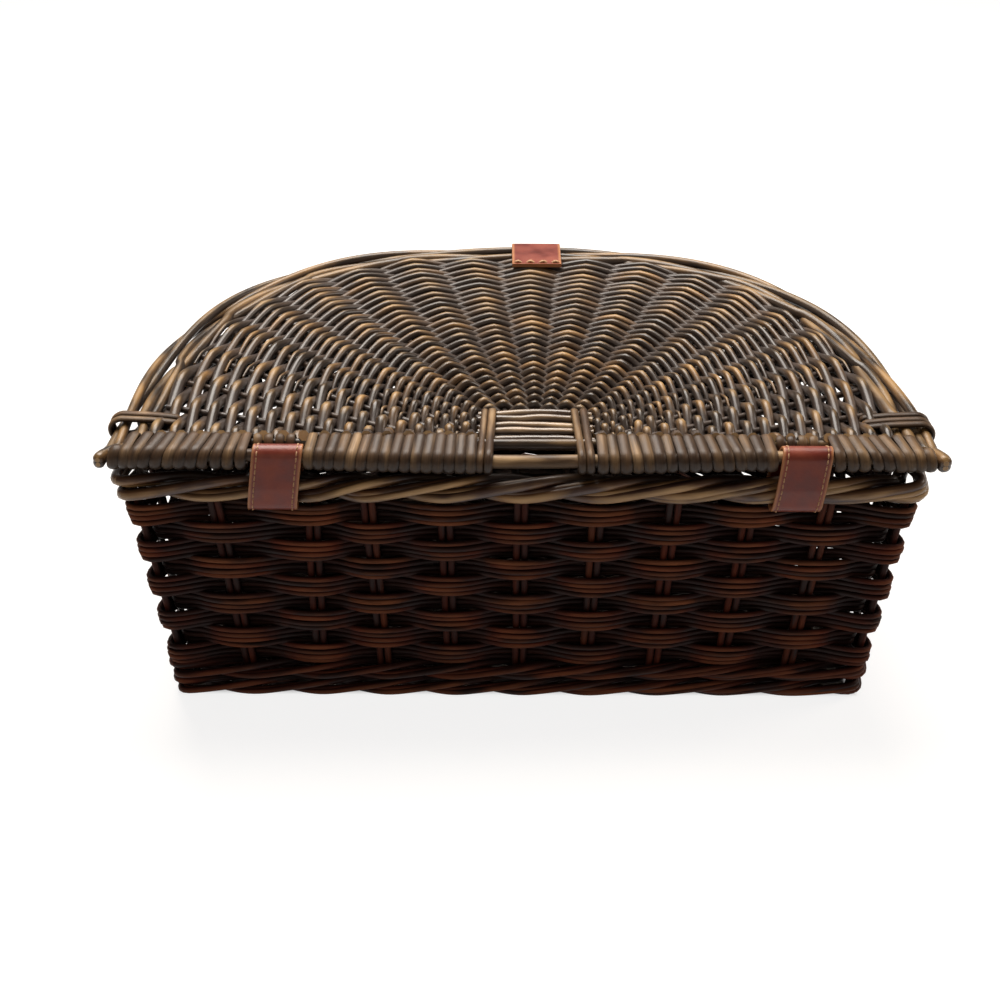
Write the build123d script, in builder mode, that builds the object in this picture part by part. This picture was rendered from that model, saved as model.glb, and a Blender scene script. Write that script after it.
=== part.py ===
from build123d import *
import math
import os

os.makedirs("parts", exist_ok=True)

# A half-moon willow picnic basket. X runs along the straight hinge side, the straight side
# faces -Y, the curved side with the closing strap faces +Y, and the basket stands on z = 0.

# Lid outline
bar_overhang = 8.0
bar_radius = 5.8
bar_height = 164.0
bow_half_width = 223.0
bow_depth = 301.0
side_roundness = 2.81
crown_roundness = 2.66
bow_radii = (4.8, 3.4, 3.0)
bow_gap = 0.5
back_rod_radius = 3.0
back_rod_gap = 5.2

# Lid fan
lid_sag = 3.0
fan_shift = 8.0
main_spokes = 11
spoke_radius = 1.8
half_way_spoke_start = 100.0
fan_rows = 16
fan_row_width = 8.6
fan_row_thickness = 2.6
fan_clearance = 0.5
first_row_gap = 2.0
spoke_end_gap = 0.9
hub_margin = 4.0
hub_gap = 5.5
hub_power = 6.0

# Block at the middle of the bar
block_length = 64.0
block_rods = 5
block_rod_radius = 3.0
block_rod_pitch = 6.3
lashing_shares = (-0.84, -0.66, 0.69, 0.86)
lashing_width = 4.6

# Bindings round the lid's rods
wrap_thickness = 3.0
wrap_clearance = 0.4
binding_thickness = 2.4
binding_width = 4.4
binding_pitch = 5.8
left_bindings = 2
right_bindings = 3

# Body
front_bays = 10
curve_bays = 20
top_front = 5.0
side_inset = 10.0
back_inset = 13.0
side_taper = 18.0
front_taper = 5.0
back_taper = 10.0
stake_radius = 2.2
stake_pairing = 1.02
stake_bottom = 3.0
border_drop = 20.6

# Weaving of the wall
row_count = 9
row_gap = 0.4
row_thickness = 4.0
row_clearance = 0.3
lean_room = 0.6
pair_room = 0.9
corner_swing = 1.65
wale_rod_radius = 2.7
border_rod_radius = 4.2
wale_tightness = 1.12
wale_gap = 0.2
wale_clearance = 0.3
floor_gap = 0.2

# Base
foot_ring_height = 5.4
foot_ring_thickness = 6.0
base_stick_radius = 2.9
base_sticks = 9
base_strips = 10
stick_end_gap = 1.8
base_strip_thickness = 3.0
base_strip_gap = 1.2
strip_end_gap = 1.0
shortest_tail = 2.0
last_strip_share = 0.4

# Leather
leather_thickness = 2.2
hinge_width = 27.0
hinge_places = (-133.6, 150.9)
hinge_room = 0.6
strap_place = 13.0
strap_width = 33.5
strap_thickness = 2.5
strap_length = 78.0
strap_corner = 7.0
strap_lean = 7.5
strap_turn = 150.0
tab_reach = 45.0
tab_lift = 0.8
tab_bend = 5.1
tab_shoulder = 2.9
tab_drop = 3.0

# Brass turn button
button_drop = 58.0
plate_width = 32.0
plate_height = 26.0
plate_thickness = 1.6
plate_corner = 3.0
post_radius = 2.5
wing_length = 18.0
wing_width = 5.0
wing_thickness = 3.2
wing_corner = 1.5
wing_room = 0.5
slot_clearance = 2.0
screw_radius = 2.0
screw_head = 0.9
screw_inset = 4.5

facets = 12
clearance = 0.3

bar_length = 2 * (bow_half_width + bar_overhang)
lid_height = bar_height - lid_sag
border_middle = bar_height - border_drop
top_half_width = bow_half_width - side_inset
base_half_width = top_half_width - side_taper
base_front = top_front + front_taper
top_depth = bow_depth - back_inset - top_front
base_depth = top_depth - front_taper - back_taper
stake_count = front_bays + curve_bays
border_rise = border_rod_radius * wale_tightness
wale_rise = wale_rod_radius * wale_tightness
border_reach = stake_radius + border_rod_radius + wale_clearance + pair_room
hinge_reach = border_reach - top_front + border_rod_radius + wrap_clearance + leather_thickness
strap_y = bow_depth + bow_radii[0] + clearance + strap_thickness / 2
front_reach = max(bar_radius + wrap_clearance + wrap_thickness, hinge_reach)
back_reach = strap_y + strap_thickness / 2
bar_y = (front_reach - back_reach) / 2
back_rod_y = bar_radius + back_rod_gap + back_rod_radius
weave_start = back_rod_y + back_rod_radius + wrap_clearance + wrap_thickness + clearance


def bow_curve(half_width, depth, start_y=0.0, samples=400):
    # The curved side, finely sampled from +X round to -X, measured from the bar's axis
    points = []
    for step in range(samples + 1):
        turn = math.pi * step / samples
        across = math.cos(turn)
        x = half_width * math.copysign(abs(across) ** (2 / side_roundness), across)
        y = start_y + depth * abs(math.sin(turn)) ** (2 / crown_roundness)
        points.append((x, y))
    return points


def spaced(curve, count):
    # Points at even steps along a finely sampled curve, both ends included
    lengths = [0.0]
    for a, b in zip(curve, curve[1:]):
        lengths.append(lengths[-1] + math.dist(a, b))
    points = []
    place = 0
    for step in range(count + 1):
        wanted = lengths[-1] * step / count
        while place < len(lengths) - 2 and lengths[place + 1] < wanted:
            place += 1
        part = (wanted - lengths[place]) / (lengths[place + 1] - lengths[place])
        a, b = curve[place], curve[place + 1]
        points.append((a[0] + part * (b[0] - a[0]), a[1] + part * (b[1] - a[1])))
    return points


def lay_rod(points, radius, sides=6):
    # One rod of flat-sided section along straight runs
    with BuildLine() as line:
        Polyline(*points)
    path = line.wires()[0]
    with BuildSketch(Plane(origin=path @ 0, z_dir=path % 0)) as section:
        RegularPolygon(radius, sides)
    sweep(sections=section.sketch, path=path, transition=Transition.RIGHT)


def lay_strip(points, width, thickness, flat):
    # A flat strip along straight runs; flat is the direction of its width at the start
    with BuildLine() as line:
        Polyline(*points)
    path = line.wires()[0]
    with BuildSketch(Plane(origin=path @ 0, z_dir=path % 0, x_dir=flat)) as section:
        Rectangle(width, thickness)
    sweep(sections=section.sketch, path=path, transition=Transition.RIGHT)


def pulled_round(circles, extra, corners=facets):
    # The outline that a tight band takes round a few rods, as corners on their circles
    outline = []
    for corner in range(corners):
        turn = 2 * math.pi * (corner + 0.5) / corners
        u, v = math.cos(turn), math.sin(turn)
        a, b, radius = max(circles, key=lambda c: c[0] * u + c[1] * v + c[2])
        reach = (radius + extra) / math.cos(math.pi / corners)
        outline.append((a + reach * u, b + reach * v))
    return outline


def lay_band(plane, circles, gap, thickness, width):
    # A closed band of leather or willow round a few rods, centred on the plane
    with BuildSketch(plane) as ring:
        with BuildLine():
            Polyline(*pulled_round(circles, gap + thickness), close=True)
        make_face()
        with BuildLine() as inner:
            Polyline(*pulled_round(circles, gap), close=True)
        make_face(inner.edges(), mode=Mode.SUBTRACT)
    extrude(to_extrude=ring.sketch, amount=width / 2, both=True)


def finish(piece, name):
    piece.part.label = name
    export_step(piece.part, "parts/" + name + ".step")


# Lid: the straight bar, the thin rod behind it and the three rods of the bow

with BuildPart() as lid_front_bar:
    with BuildSketch(Plane.YZ.offset(-bar_length / 2)):
        with Locations((bar_y, bar_height)):
            RegularPolygon(bar_radius, facets)
    extrude(amount=bar_length)
finish(lid_front_bar, "lid_front_bar")

bow_insets = (
    0.0,
    bow_radii[0] + bow_gap + bow_radii[1],
    bow_radii[0] + 2 * bow_gap + 2 * bow_radii[1] + bow_radii[2],
)
inner_bow_inset = bow_insets[2] + bow_radii[2]
back_rod_half = bow_half_width - inner_bow_inset - binding_thickness - wrap_clearance - clearance

with BuildPart() as lid_back_rod:
    with BuildSketch(Plane.YZ.offset(-back_rod_half)):
        with Locations((bar_y + back_rod_y, bar_height)):
            RegularPolygon(back_rod_radius, 8)
    extrude(amount=2 * back_rod_half)
finish(lid_back_rod, "lid_back_rod")

bow_names = ("lid_bow_outer", "lid_bow_middle", "lid_bow_inner")
bow_steps = 28
for name, radius, inset in zip(bow_names, bow_radii, bow_insets):
    outline = bow_curve(bow_half_width - inset, bow_depth - inset)
    outline = [p for p in outline if p[1] > bar_radius + clearance]
    with BuildPart() as bow_rod:
        lay_rod([(x, bar_y + y, lid_height) for x, y in spaced(outline, bow_steps)], radius)
    finish(bow_rod, name)


# Lid: spokes that fan out from the block, and the rows woven over and under them

def reach_to(turn, half_width, depth, side_power, crown_power, shift):
    # How far a ray runs before it meets a rounded outline; it starts at x = shift
    near, far = 0.0, half_width + depth
    for _ in range(50):
        middle = (near + far) / 2
        x = middle * math.cos(turn) + shift
        y = middle * math.sin(turn)
        if abs(x / half_width) ** side_power + (y / depth) ** crown_power < 1:
            near = middle
        else:
            far = middle
    return near


block_first = weave_start + block_rod_radius
block_end = block_first + (block_rods - 1) * block_rod_pitch + block_rod_radius
spoke_count = 2 * main_spokes - 1
spoke_turns = [math.pi * (i + 1) / (spoke_count + 1) for i in range(spoke_count)]
spoke_rim = inner_bow_inset + spoke_end_gap
hub_half_width = block_length / 2 + hub_margin
hub_depth = block_end + wrap_clearance + wrap_thickness + hub_gap
row_room = spoke_radius + fan_row_thickness / 2 + fan_clearance


def rim_reach(turn, inset):
    half_width, depth = bow_half_width - inset, bow_depth - inset
    return reach_to(turn, half_width, depth, side_roundness, crown_roundness, fan_shift)


def hub_reach(turn):
    return reach_to(turn, hub_half_width, hub_depth, hub_power, hub_power, 0.0)


def is_main(index):
    return index % 2 == 0


first_row_offset = fan_row_width / 2 + first_row_gap
last_row_inset = spoke_rim + fan_row_width / 2


def row_radius(turn, row):
    inner = hub_reach(turn) + first_row_offset
    outer = rim_reach(turn, last_row_inset)
    return inner + (outer - inner) * row / (fan_rows - 1)


def first_row_of(index):
    # The first row that is woven round a spoke: the in-between spokes start farther out
    if is_main(index):
        return 0
    turn = spoke_turns[index]
    return next(row for row in range(fan_rows) if row_radius(turn, row) > half_way_spoke_start)


def spoke_start(index):
    turn = spoke_turns[index]
    across = (block_length / 2 + clearance + spoke_radius) / max(abs(math.cos(turn)), 1e-6)
    along = (block_end + wrap_clearance + wrap_thickness + clearance) / math.sin(turn)
    clear_of_bar = (weave_start + spoke_radius) / math.sin(turn)
    start = max(min(across, along), clear_of_bar)
    if is_main(index):
        return start
    row = first_row_of(index)
    between_rows = (row_radius(turn, row - 1) + row_radius(turn, row)) / 2
    return max(start, between_rows)


with BuildPart() as lid_spokes:
    for index, turn in enumerate(spoke_turns):
        first = spoke_start(index)
        last = rim_reach(turn, spoke_rim)
        if last - first < 2 * fan_row_width:
            continue
        way = (math.cos(turn), math.sin(turn), 0)
        foot = (fan_shift + first * way[0], bar_y + first * way[1], lid_height)
        tip = (fan_shift + last * way[0], bar_y + last * way[1], lid_height)
        lay_rod([foot, tip], spoke_radius)
finish(lid_spokes, "lid_spokes")

first_spoke_slope = math.tan(spoke_turns[0])


def binding_first(side):
    # The bindings start just behind the first spoke, where it meets the bow
    across = bow_half_width - bow_insets[2] - side * fan_shift
    return across * first_spoke_slope + 2 * spoke_radius + clearance


binding_room = binding_first(1) + right_bindings * binding_pitch

for row in range(fan_rows):
    stop_y = weave_start + clearance
    if row >= fan_rows - 1:
        stop_y = binding_room + clearance
    stations = []
    for index, turn in enumerate(spoke_turns):
        radius = row_radius(turn, row)
        if row < first_row_of(index):
            continue
        if radius * math.sin(turn) > stop_y + fan_row_width / 2:
            stations.append((turn, radius))
    plan = [(r * math.cos(turn), r * math.sin(turn)) for turn, r in stations]
    runs = []
    for place, (turn, radius) in enumerate(stations):
        before, after = max(place - 1, 0), min(place + 1, len(stations) - 1)
        spread = (radius - fan_row_width / 2) * abs(stations[after][0] - stations[before][0])
        spacing = spread / (after - before)
        swing = row_room / math.sqrt(1 - (2 * row_room / spacing) ** 2)
        run = (plan[after][0] - plan[before][0], plan[after][1] - plan[before][1])
        away = abs(run[0] * math.cos(turn) + run[1] * math.sin(turn))
        across = abs(run[1] * math.cos(turn) - run[0] * math.sin(turn))
        slant_room = 2 * swing / spacing * fan_row_width / 2 * away / across
        side = 1 if (place + row) % 2 == 0 else -1
        height = lid_height + side * (swing + slant_room)
        runs.append((fan_shift + plan[place][0], bar_y + plan[place][1], height))
    for end, inner in ((0, 1), (-1, -2)):
        a, b = runs[inner], runs[end]
        slope = (b[0] - a[0]) / (b[1] - a[1])
        past = bar_y + stop_y - fan_row_width / 2
        tail = (b[0] + slope * (past - b[1]), past, b[2])
        runs = [tail] + runs if end == 0 else runs + [tail]
    with BuildPart() as fan_row:
        first, second = Vector(*runs[0]), Vector(*runs[1])
        flat = (second - first).cross(Vector(0, 0, 1))
        lay_strip(runs, fan_row_width, fan_row_thickness, (flat.X, flat.Y, flat.Z))
        split(bisect_by=Plane(origin=(0, bar_y + stop_y, 0), z_dir=(0, 1, 0)), keep=Keep.TOP)
    finish(fan_row, "lid_row_%02d" % (row + 1))


# Lid: the block of rods at the middle of the bar, tied down by lashings

with BuildPart() as lid_block_rods:
    for number in range(block_rods):
        y = bar_y + block_first + number * block_rod_pitch
        with BuildSketch(Plane.YZ.offset(fan_shift - block_length / 2)):
            with Locations((y, lid_height)):
                RegularPolygon(block_rod_radius, 8)
    extrude(amount=block_length)
finish(lid_block_rods, "lid_block_rods")

bar_circle = (bar_y, bar_height, bar_radius)
back_circle = (bar_y + back_rod_y, bar_height, back_rod_radius)
block_circle = (bar_y + block_end - block_rod_radius, lid_height, block_rod_radius)

with BuildPart() as lid_block_lashings:
    for share in lashing_shares:
        plane = Plane.YZ.offset(fan_shift + share * block_length / 2)
        lay_band(plane, (bar_circle, block_circle), wrap_clearance, wrap_thickness, lashing_width)
finish(lid_block_lashings, "lid_block_lashings")

# Lid: the wrapping round the bar and the rod behind it, open where the hinge straps pass

hinge_gap = hinge_width / 2 + hinge_room
block_gap = block_length / 2 + clearance
wrap_stretches = (
    ("lid_bar_wrap_far_left", -back_rod_half, hinge_places[0] - hinge_gap),
    ("lid_bar_wrap_left", hinge_places[0] + hinge_gap, fan_shift - block_gap),
    ("lid_bar_wrap_right", fan_shift + block_gap, hinge_places[1] - hinge_gap),
    ("lid_bar_wrap_far_right", hinge_places[1] + hinge_gap, back_rod_half),
)
for name, start, end in wrap_stretches:
    with BuildPart() as wrap:
        plane = Plane.YZ.offset((start + end) / 2)
        lay_band(plane, (bar_circle, back_circle), wrap_clearance, wrap_thickness, end - start)
    finish(wrap, name)

# Lid: willow bindings round the ends of the bow

def bow_x(y, inset):
    # How far out a rod of the bow lies at a distance y behind the bar's axis
    share = 1 - (y / (bow_depth - inset)) ** crown_roundness
    return (bow_half_width - inset) * share ** (1 / side_roundness)


for name, side, count in (("left", -1, left_bindings), ("right", 1, right_bindings)):
    with BuildPart() as binding:
        for number in range(count):
            y = binding_first(side) + binding_width / 2 + number * binding_pitch
            circles = []
            for radius, inset in zip(bow_radii, bow_insets):
                circles.append((side * bow_x(y, inset), lid_height, radius))
            plane = Plane(origin=(0, bar_y + y, 0), x_dir=(1, 0, 0), z_dir=(0, -1, 0))
            lay_band(plane, circles, wrap_clearance, binding_thickness, binding_width)
    finish(binding, "lid_corner_binding_" + name)


# Body: pairs of stakes round a half-moon that widens towards the top

def stand_aside(x):
    # A front stake leans aside at its top where a hinge strap needs the room
    for place in hinge_places:
        room = hinge_gap + 2 * stake_radius
        if abs(x - place) < room:
            return place + math.copysign(room, x - place)
    return x


def stake_places(half_width, front, depth, aside):
    places = []
    for bay in range(front_bays):
        x = -half_width + 2 * half_width * bay / front_bays
        if aside and bay > 0:
            x = stand_aside(x)
        places.append((x, bar_y + front))
    for x, y in spaced(bow_curve(half_width, depth, front), curve_bays)[:-1]:
        places.append((x, bar_y + y))
    return places


feet = stake_places(base_half_width, base_front, base_depth, False)
tops = stake_places(top_half_width, top_front, top_depth, True)


def stake_at(index, z):
    foot, top = feet[index % stake_count], tops[index % stake_count]
    part = z / border_middle
    return (foot[0] + part * (top[0] - foot[0]), foot[1] + part * (top[1] - foot[1]))


def outward(index, z):
    # The direction away from the basket at a stake, from its two neighbours
    a, b = stake_at(index - 1, z), stake_at(index + 1, z)
    length = math.dist(a, b)
    return ((b[1] - a[1]) / length, -(b[0] - a[0]) / length)


def is_corner(index):
    return index % stake_count in (0, front_bays)


def beside_stake(place, z, swing):
    # A point beside a stake, or halfway to the next one: outside where swing is positive
    if is_corner(place) and swing > 0:
        swing *= corner_swing
    here = math.floor(place)
    after = math.ceil(place)
    x = (stake_at(here, z)[0] + stake_at(after, z)[0]) / 2
    y = (stake_at(here, z)[1] + stake_at(after, z)[1]) / 2
    way = outward(here, z)
    if after != here:
        a, b = stake_at(here, z), stake_at(after, z)
        length = math.dist(a, b)
        way = ((b[1] - a[1]) / length, -(b[0] - a[0]) / length)
    return (x + swing * way[0], y + swing * way[1])


with BuildPart() as wall_stakes:
    for index in range(stake_count):
        foot = Vector(*stake_at(index, stake_bottom), stake_bottom)
        top = Vector(*stake_at(index, border_middle), border_middle)
        along = Vector(-outward(index, 0)[1], outward(index, 0)[0], 0)
        spread = stake_radius * stake_pairing
        offsets = (0.0,) if is_corner(index) else (-spread, spread)
        for shift in offsets:
            lay_rod([foot + along * shift, top + along * shift], stake_radius, 5)
finish(wall_stakes, "wall_stakes")


# Body: three-rod wales at the foot and the rolled border at the top

def lay_wale(middle, rod_radius, sides):
    # Each rod passes outside two stakes, climbing, then dips inside the third. Halfway
    # between stakes the rod that goes in lies on the rod that comes out.
    rise = rod_radius * wale_tightness
    swing = stake_radius + rod_radius + wale_clearance + pair_room
    ways = ((swing, -rise), None, (swing, rise), (0.0, rise), (-swing, 0.0), (0.0, -rise))
    for rod in range(3):
        runs = []
        for step in range(2 * stake_count):
            way = ways[(step + 2 * rod) % 6]
            if way:
                x, y = beside_stake(step / 2, middle, way[0])
                runs.append(Vector(x, y, middle + way[1]))
        begin = (runs[0] + runs[-1]) * 0.5
        nearly = begin + (runs[-1] - runs[0]).normalized() * clearance
        lay_rod([begin] + runs + [nearly], rod_radius, sides)


wale_height = 2 * (wale_rise + wale_rod_radius)
lower_wale_middle = floor_gap + wale_height / 2
upper_wale_middle = lower_wale_middle + wale_height + wale_gap

with BuildPart() as foot_wale_lower:
    lay_wale(lower_wale_middle, wale_rod_radius, 4)
finish(foot_wale_lower, "foot_wale_lower")

with BuildPart() as foot_wale_upper:
    lay_wale(upper_wale_middle, wale_rod_radius, 4)
finish(foot_wale_upper, "foot_wale_upper")

with BuildPart() as top_border:
    lay_wale(border_middle, border_rod_radius, 5)
finish(top_border, "top_border")


# Body: the rows of the wall, each a flat band that passes in and out of the stakes

def moved_out(points, distance):
    # A closed outline whose straight runs have all moved outwards by the same distance
    moved = []
    for before, here, after in zip(points[-1:] + points[:-1], points, points[1:] + points[:1]):
        first = math.atan2(here[1] - before[1], here[0] - before[0]) - math.pi / 2
        second = math.atan2(after[1] - here[1], after[0] - here[0]) - math.pi / 2
        x, y = math.cos(first) + math.cos(second), math.sin(first) + math.sin(second)
        reach = distance / (1 + math.cos(second - first))
        moved.append((here[0] + reach * x, here[1] + reach * y))
    return moved


row_swing = stake_radius + row_thickness / 2 + row_clearance + lean_room + pair_room
rows_start = upper_wale_middle + wale_height / 2 + row_clearance
hinge_bottom = border_middle - border_rise - border_rod_radius - wrap_clearance - leather_thickness
rows_end = hinge_bottom - clearance
row_pitch = (rows_end - rows_start + row_gap) / row_count
row_height = row_pitch - row_gap
first_row = rows_start + row_height / 2

for row in range(row_count):
    middle = first_row + row * row_pitch
    runs = []
    for index in range(stake_count):
        swing = row_swing if (index + row) % 2 == 0 else -row_swing
        runs.append(beside_stake(index, middle, swing))
    with BuildPart() as wall_row:
        with BuildSketch(Plane.XY.offset(middle - row_height / 2)):
            with BuildLine():
                Polyline(*moved_out(runs, row_thickness / 2), close=True)
            make_face()
            with BuildLine(mode=Mode.PRIVATE) as inner:
                Polyline(*moved_out(runs, -row_thickness / 2), close=True)
            make_face(inner.edges(), mode=Mode.SUBTRACT)
        extrude(amount=row_height)
    finish(wall_row, "wall_row_%d" % (row + 1))


# Base: a flat-bottomed foot ring, sticks laid across it and strips woven over and under them

wale_inner = stake_radius + 2 * wale_rod_radius + wale_clearance + pair_room + clearance


def foot_outline(inset):
    front = base_front + inset
    curve = bow_curve(base_half_width - inset, base_depth - 2 * inset, front)
    return [(x, bar_y + y) for x, y in spaced(curve, curve_bays)]


with BuildPart() as base_foot_ring:
    with BuildSketch():
        with BuildLine():
            Polyline(*foot_outline(wale_inner), close=True)
        make_face()
        with BuildLine(mode=Mode.PRIVATE) as inner:
            Polyline(*foot_outline(wale_inner + foot_ring_thickness), close=True)
        make_face(inner.edges(), mode=Mode.SUBTRACT)
    extrude(amount=foot_ring_height)
finish(base_foot_ring, "base_foot_ring")

stick_z = foot_ring_height + clearance + base_stick_radius
stick_pitch = 2 * (base_half_width - wale_inner) / (base_sticks + 1)
stick_x = [stick_pitch * (i - (base_sticks - 1) / 2) for i in range(base_sticks)]


def depth_at(x, inset):
    # How far back the base reaches at x, measured from the bar's axis
    half_width = base_half_width - inset
    share = 1 - abs(x / half_width) ** side_roundness
    return base_front + inset + (base_depth - 2 * inset) * max(share, 0.0) ** (1 / crown_roundness)


def half_width_at(y, inset):
    depth = base_depth - 2 * inset
    share = 1 - ((y - base_front - inset) / depth) ** crown_roundness
    return (base_half_width - inset) * max(share, 0.0) ** (1 / side_roundness)


stick_inset = wale_inner + stick_end_gap
with BuildPart() as base_sticks_piece:
    for x in stick_x:
        back = depth_at(abs(x) + base_stick_radius, stick_inset)
        front = base_front + stick_inset
        lay_rod([(x, bar_y + front, stick_z), (x, bar_y + back, stick_z)], base_stick_radius)
finish(base_sticks_piece, "base_sticks")

strip_inset = wale_inner + foot_ring_thickness + 2 * clearance
strip_room = base_stick_radius + base_strip_thickness / 2 + clearance
strip_swing = strip_room / math.sqrt(1 - (2 * strip_room / stick_pitch) ** 2)
strip_span = (base_depth - 2 * strip_inset) / base_strips
strip_width = strip_span - base_strip_gap

with BuildPart() as base_weave:
    for strip in range(base_strips):
        near = base_front + strip_inset + strip * strip_span
        width = strip_width if strip < base_strips - 1 else strip_width * last_strip_share
        reach = half_width_at(near + width + base_strip_gap, strip_inset) - strip_end_gap
        passes = [x for x in stick_x if abs(x) < reach - base_stick_radius]
        runs = []
        for number, x in enumerate(passes):
            side = 1 if (number + strip) % 2 == 0 else -1
            runs.append((x, bar_y + near + width / 2, stick_z + side * strip_swing))
        first, last = runs[0], runs[-1]
        if reach - abs(first[0]) > shortest_tail:
            runs = [(-reach, first[1], first[2])] + runs + [(reach, last[1], last[2])]
        lay_strip(runs, width, base_strip_thickness, (0, 1, 0))
finish(base_weave, "base_weave")


# Leather: two hinge straps, each a closed loop round the lid's bar and the top border

hinge_circles = [bar_circle]
for side, level in ((-1, -1), (1, -1), (-1, 1), (1, 1)):
    y = bar_y + top_front + side * border_reach
    z = border_middle + level * border_rise
    hinge_circles.append((y, z, border_rod_radius))

for name, place in zip(("left", "right"), hinge_places):
    with BuildPart() as hinge_strap:
        plane = Plane.YZ.offset(place)
        lay_band(plane, hinge_circles, wrap_clearance, leather_thickness, hinge_width)
    finish(hinge_strap, "hinge_strap_" + name)


# Leather: the tab sewn on the lid over the bow, and the closing strap that hangs from it

tab_z = lid_height + row_room + fan_row_thickness / 2 + 2 * clearance + strap_thickness / 2 + tab_lift
tab_end = lid_height - tab_drop
strap_top = tab_end - clearance
pivot_z = strap_top - strap_thickness / 2
button_height = strap_top - button_drop
fold = math.radians(strap_turn)
fold_way = (0, math.cos(fold), math.sin(fold))
fold_room = strap_thickness / 2 + clearance

with BuildPart() as strap_tab:
    tab_points = (
        (strap_place, bar_y + strap_y - tab_reach, tab_z),
        (strap_place, bar_y + strap_y - tab_bend, tab_z),
        (strap_place, bar_y + strap_y, lid_height + tab_shoulder),
        (strap_place, bar_y + strap_y, tab_end),
    )
    lay_strip(tab_points, strap_width, strap_thickness, (1, 0, 0))
    # The tab's lower edge is pared away on the outside, so that the strap can fold back
    fold_y = bar_y + strap_y + fold_room * fold_way[1]
    fold_z = pivot_z + fold_room * fold_way[2]
    split(bisect_by=Plane(origin=(strap_place, fold_y, fold_z), z_dir=fold_way), keep=Keep.TOP)
finish(strap_tab, "strap_tab")

slot_width = wing_width + 2 * slot_clearance
slot_height = wing_length + 2 * slot_clearance
strap_plane = Plane(origin=(strap_place, bar_y + strap_y, 0), x_dir=(1, 0, 0), z_dir=(0, -1, 0))
rounding = strap_thickness / 2 * (2 - math.sqrt(2))

with BuildPart() as closing_strap:
    with BuildSketch(strap_plane):
        with Locations((0, strap_top - strap_length / 2)):
            Rectangle(strap_width, strap_length)
        with Locations((0, button_height)):
            Rectangle(slot_width, slot_height, mode=Mode.SUBTRACT)
    extrude(amount=strap_thickness / 2, both=True)
    chamfer(closing_strap.edges().filter_by(Axis.Y).group_by(Axis.Z)[0], strap_corner)
    chamfer(closing_strap.edges().filter_by(Axis.X).group_by(Axis.Z)[-1], rounding)
finish(closing_strap, "closing_strap")


# Brass: the plate on the curved wall, the post through it and the turn button on the post

def wall_reach_at(z):
    # How far out the wall's crests stand at the middle of the curved side
    x, y = stake_at(front_bays + curve_bays // 2, z)
    return y - bar_y + row_swing + row_thickness / 2


plate_back = wall_reach_at(button_height + plate_height / 2) + clearance
plate_front = plate_back + plate_thickness
lean = math.radians(strap_lean)
hang = pivot_z - button_height - wing_width / 2
wing_back = strap_y - hang * math.tan(lean) + strap_thickness / 2 / math.cos(lean) + wing_room
post_end = wing_back + wing_thickness
back_y = bar_y + plate_back
facing = Plane(origin=(strap_place, back_y, button_height), x_dir=(-1, 0, 0), z_dir=(0, 1, 0))

with BuildPart() as latch_plate:
    with BuildSketch(facing):
        Rectangle(plate_width, plate_height)
        RegularPolygon(post_radius + clearance, facets, mode=Mode.SUBTRACT)
    extrude(amount=plate_thickness)
    outer_edges = latch_plate.edges().filter_by(Axis.Y)
    chamfer(outer_edges.group_by(Axis.X)[0] + outer_edges.group_by(Axis.X)[-1], plate_corner)
finish(latch_plate, "latch_plate")

with BuildPart() as latch_screws:
    for x in (-1, 1):
        for y in (-1, 1):
            with BuildSketch(facing.offset(plate_thickness)):
                with Locations((x * (plate_width / 2 - screw_inset), y * (plate_height / 2 - screw_inset))):
                    RegularPolygon(screw_radius, 8)
    extrude(amount=screw_head)
finish(latch_screws, "latch_screws")

with BuildPart() as turn_button:
    with BuildSketch(facing):
        RegularPolygon(post_radius, facets)
    extrude(amount=post_end - plate_back)
    with BuildSketch(facing.offset(wing_back - plate_back)):
        Rectangle(wing_width, wing_length)
    extrude(amount=wing_thickness)
    chamfer(turn_button.edges().filter_by(Axis.Y).group_by(Axis.Z)[0], wing_corner)
    chamfer(turn_button.edges().filter_by(Axis.Y).group_by(Axis.Z)[-1], wing_corner)
finish(turn_button, "turn_button")

print("bar axis y", round(bar_y, 3), "z", bar_height)
print("strap pivot y", round(bar_y + strap_y, 3), "z", round(pivot_z, 3))
print("button axis x", strap_place, "z", button_height, "from y", round(back_y, 3))
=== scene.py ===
import math
import bpy
import numpy as np
from mathutils import Matrix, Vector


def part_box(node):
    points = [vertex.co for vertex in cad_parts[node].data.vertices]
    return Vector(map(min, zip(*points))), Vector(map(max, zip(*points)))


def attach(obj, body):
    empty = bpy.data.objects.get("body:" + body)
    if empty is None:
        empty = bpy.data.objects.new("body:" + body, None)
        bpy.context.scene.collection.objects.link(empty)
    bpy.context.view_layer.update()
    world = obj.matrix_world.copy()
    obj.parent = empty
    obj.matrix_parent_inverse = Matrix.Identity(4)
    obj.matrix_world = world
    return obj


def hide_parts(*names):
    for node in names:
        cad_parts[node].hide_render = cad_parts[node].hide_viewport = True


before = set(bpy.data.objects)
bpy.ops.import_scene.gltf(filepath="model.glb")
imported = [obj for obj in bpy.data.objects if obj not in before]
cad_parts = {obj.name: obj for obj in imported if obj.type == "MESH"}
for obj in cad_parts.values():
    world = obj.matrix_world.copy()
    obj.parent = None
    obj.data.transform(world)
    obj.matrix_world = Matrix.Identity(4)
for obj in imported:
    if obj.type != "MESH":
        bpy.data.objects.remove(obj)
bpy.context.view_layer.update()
mm = 0.001
scene = bpy.context.scene
randomDraw = np.random.default_rng(11)
print("frame loaded")

# Places that the pieces share, read from the frame's own boxes


def middleOf(nodeName):
    low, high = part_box(nodeName)
    return (low + high) / 2


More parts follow.
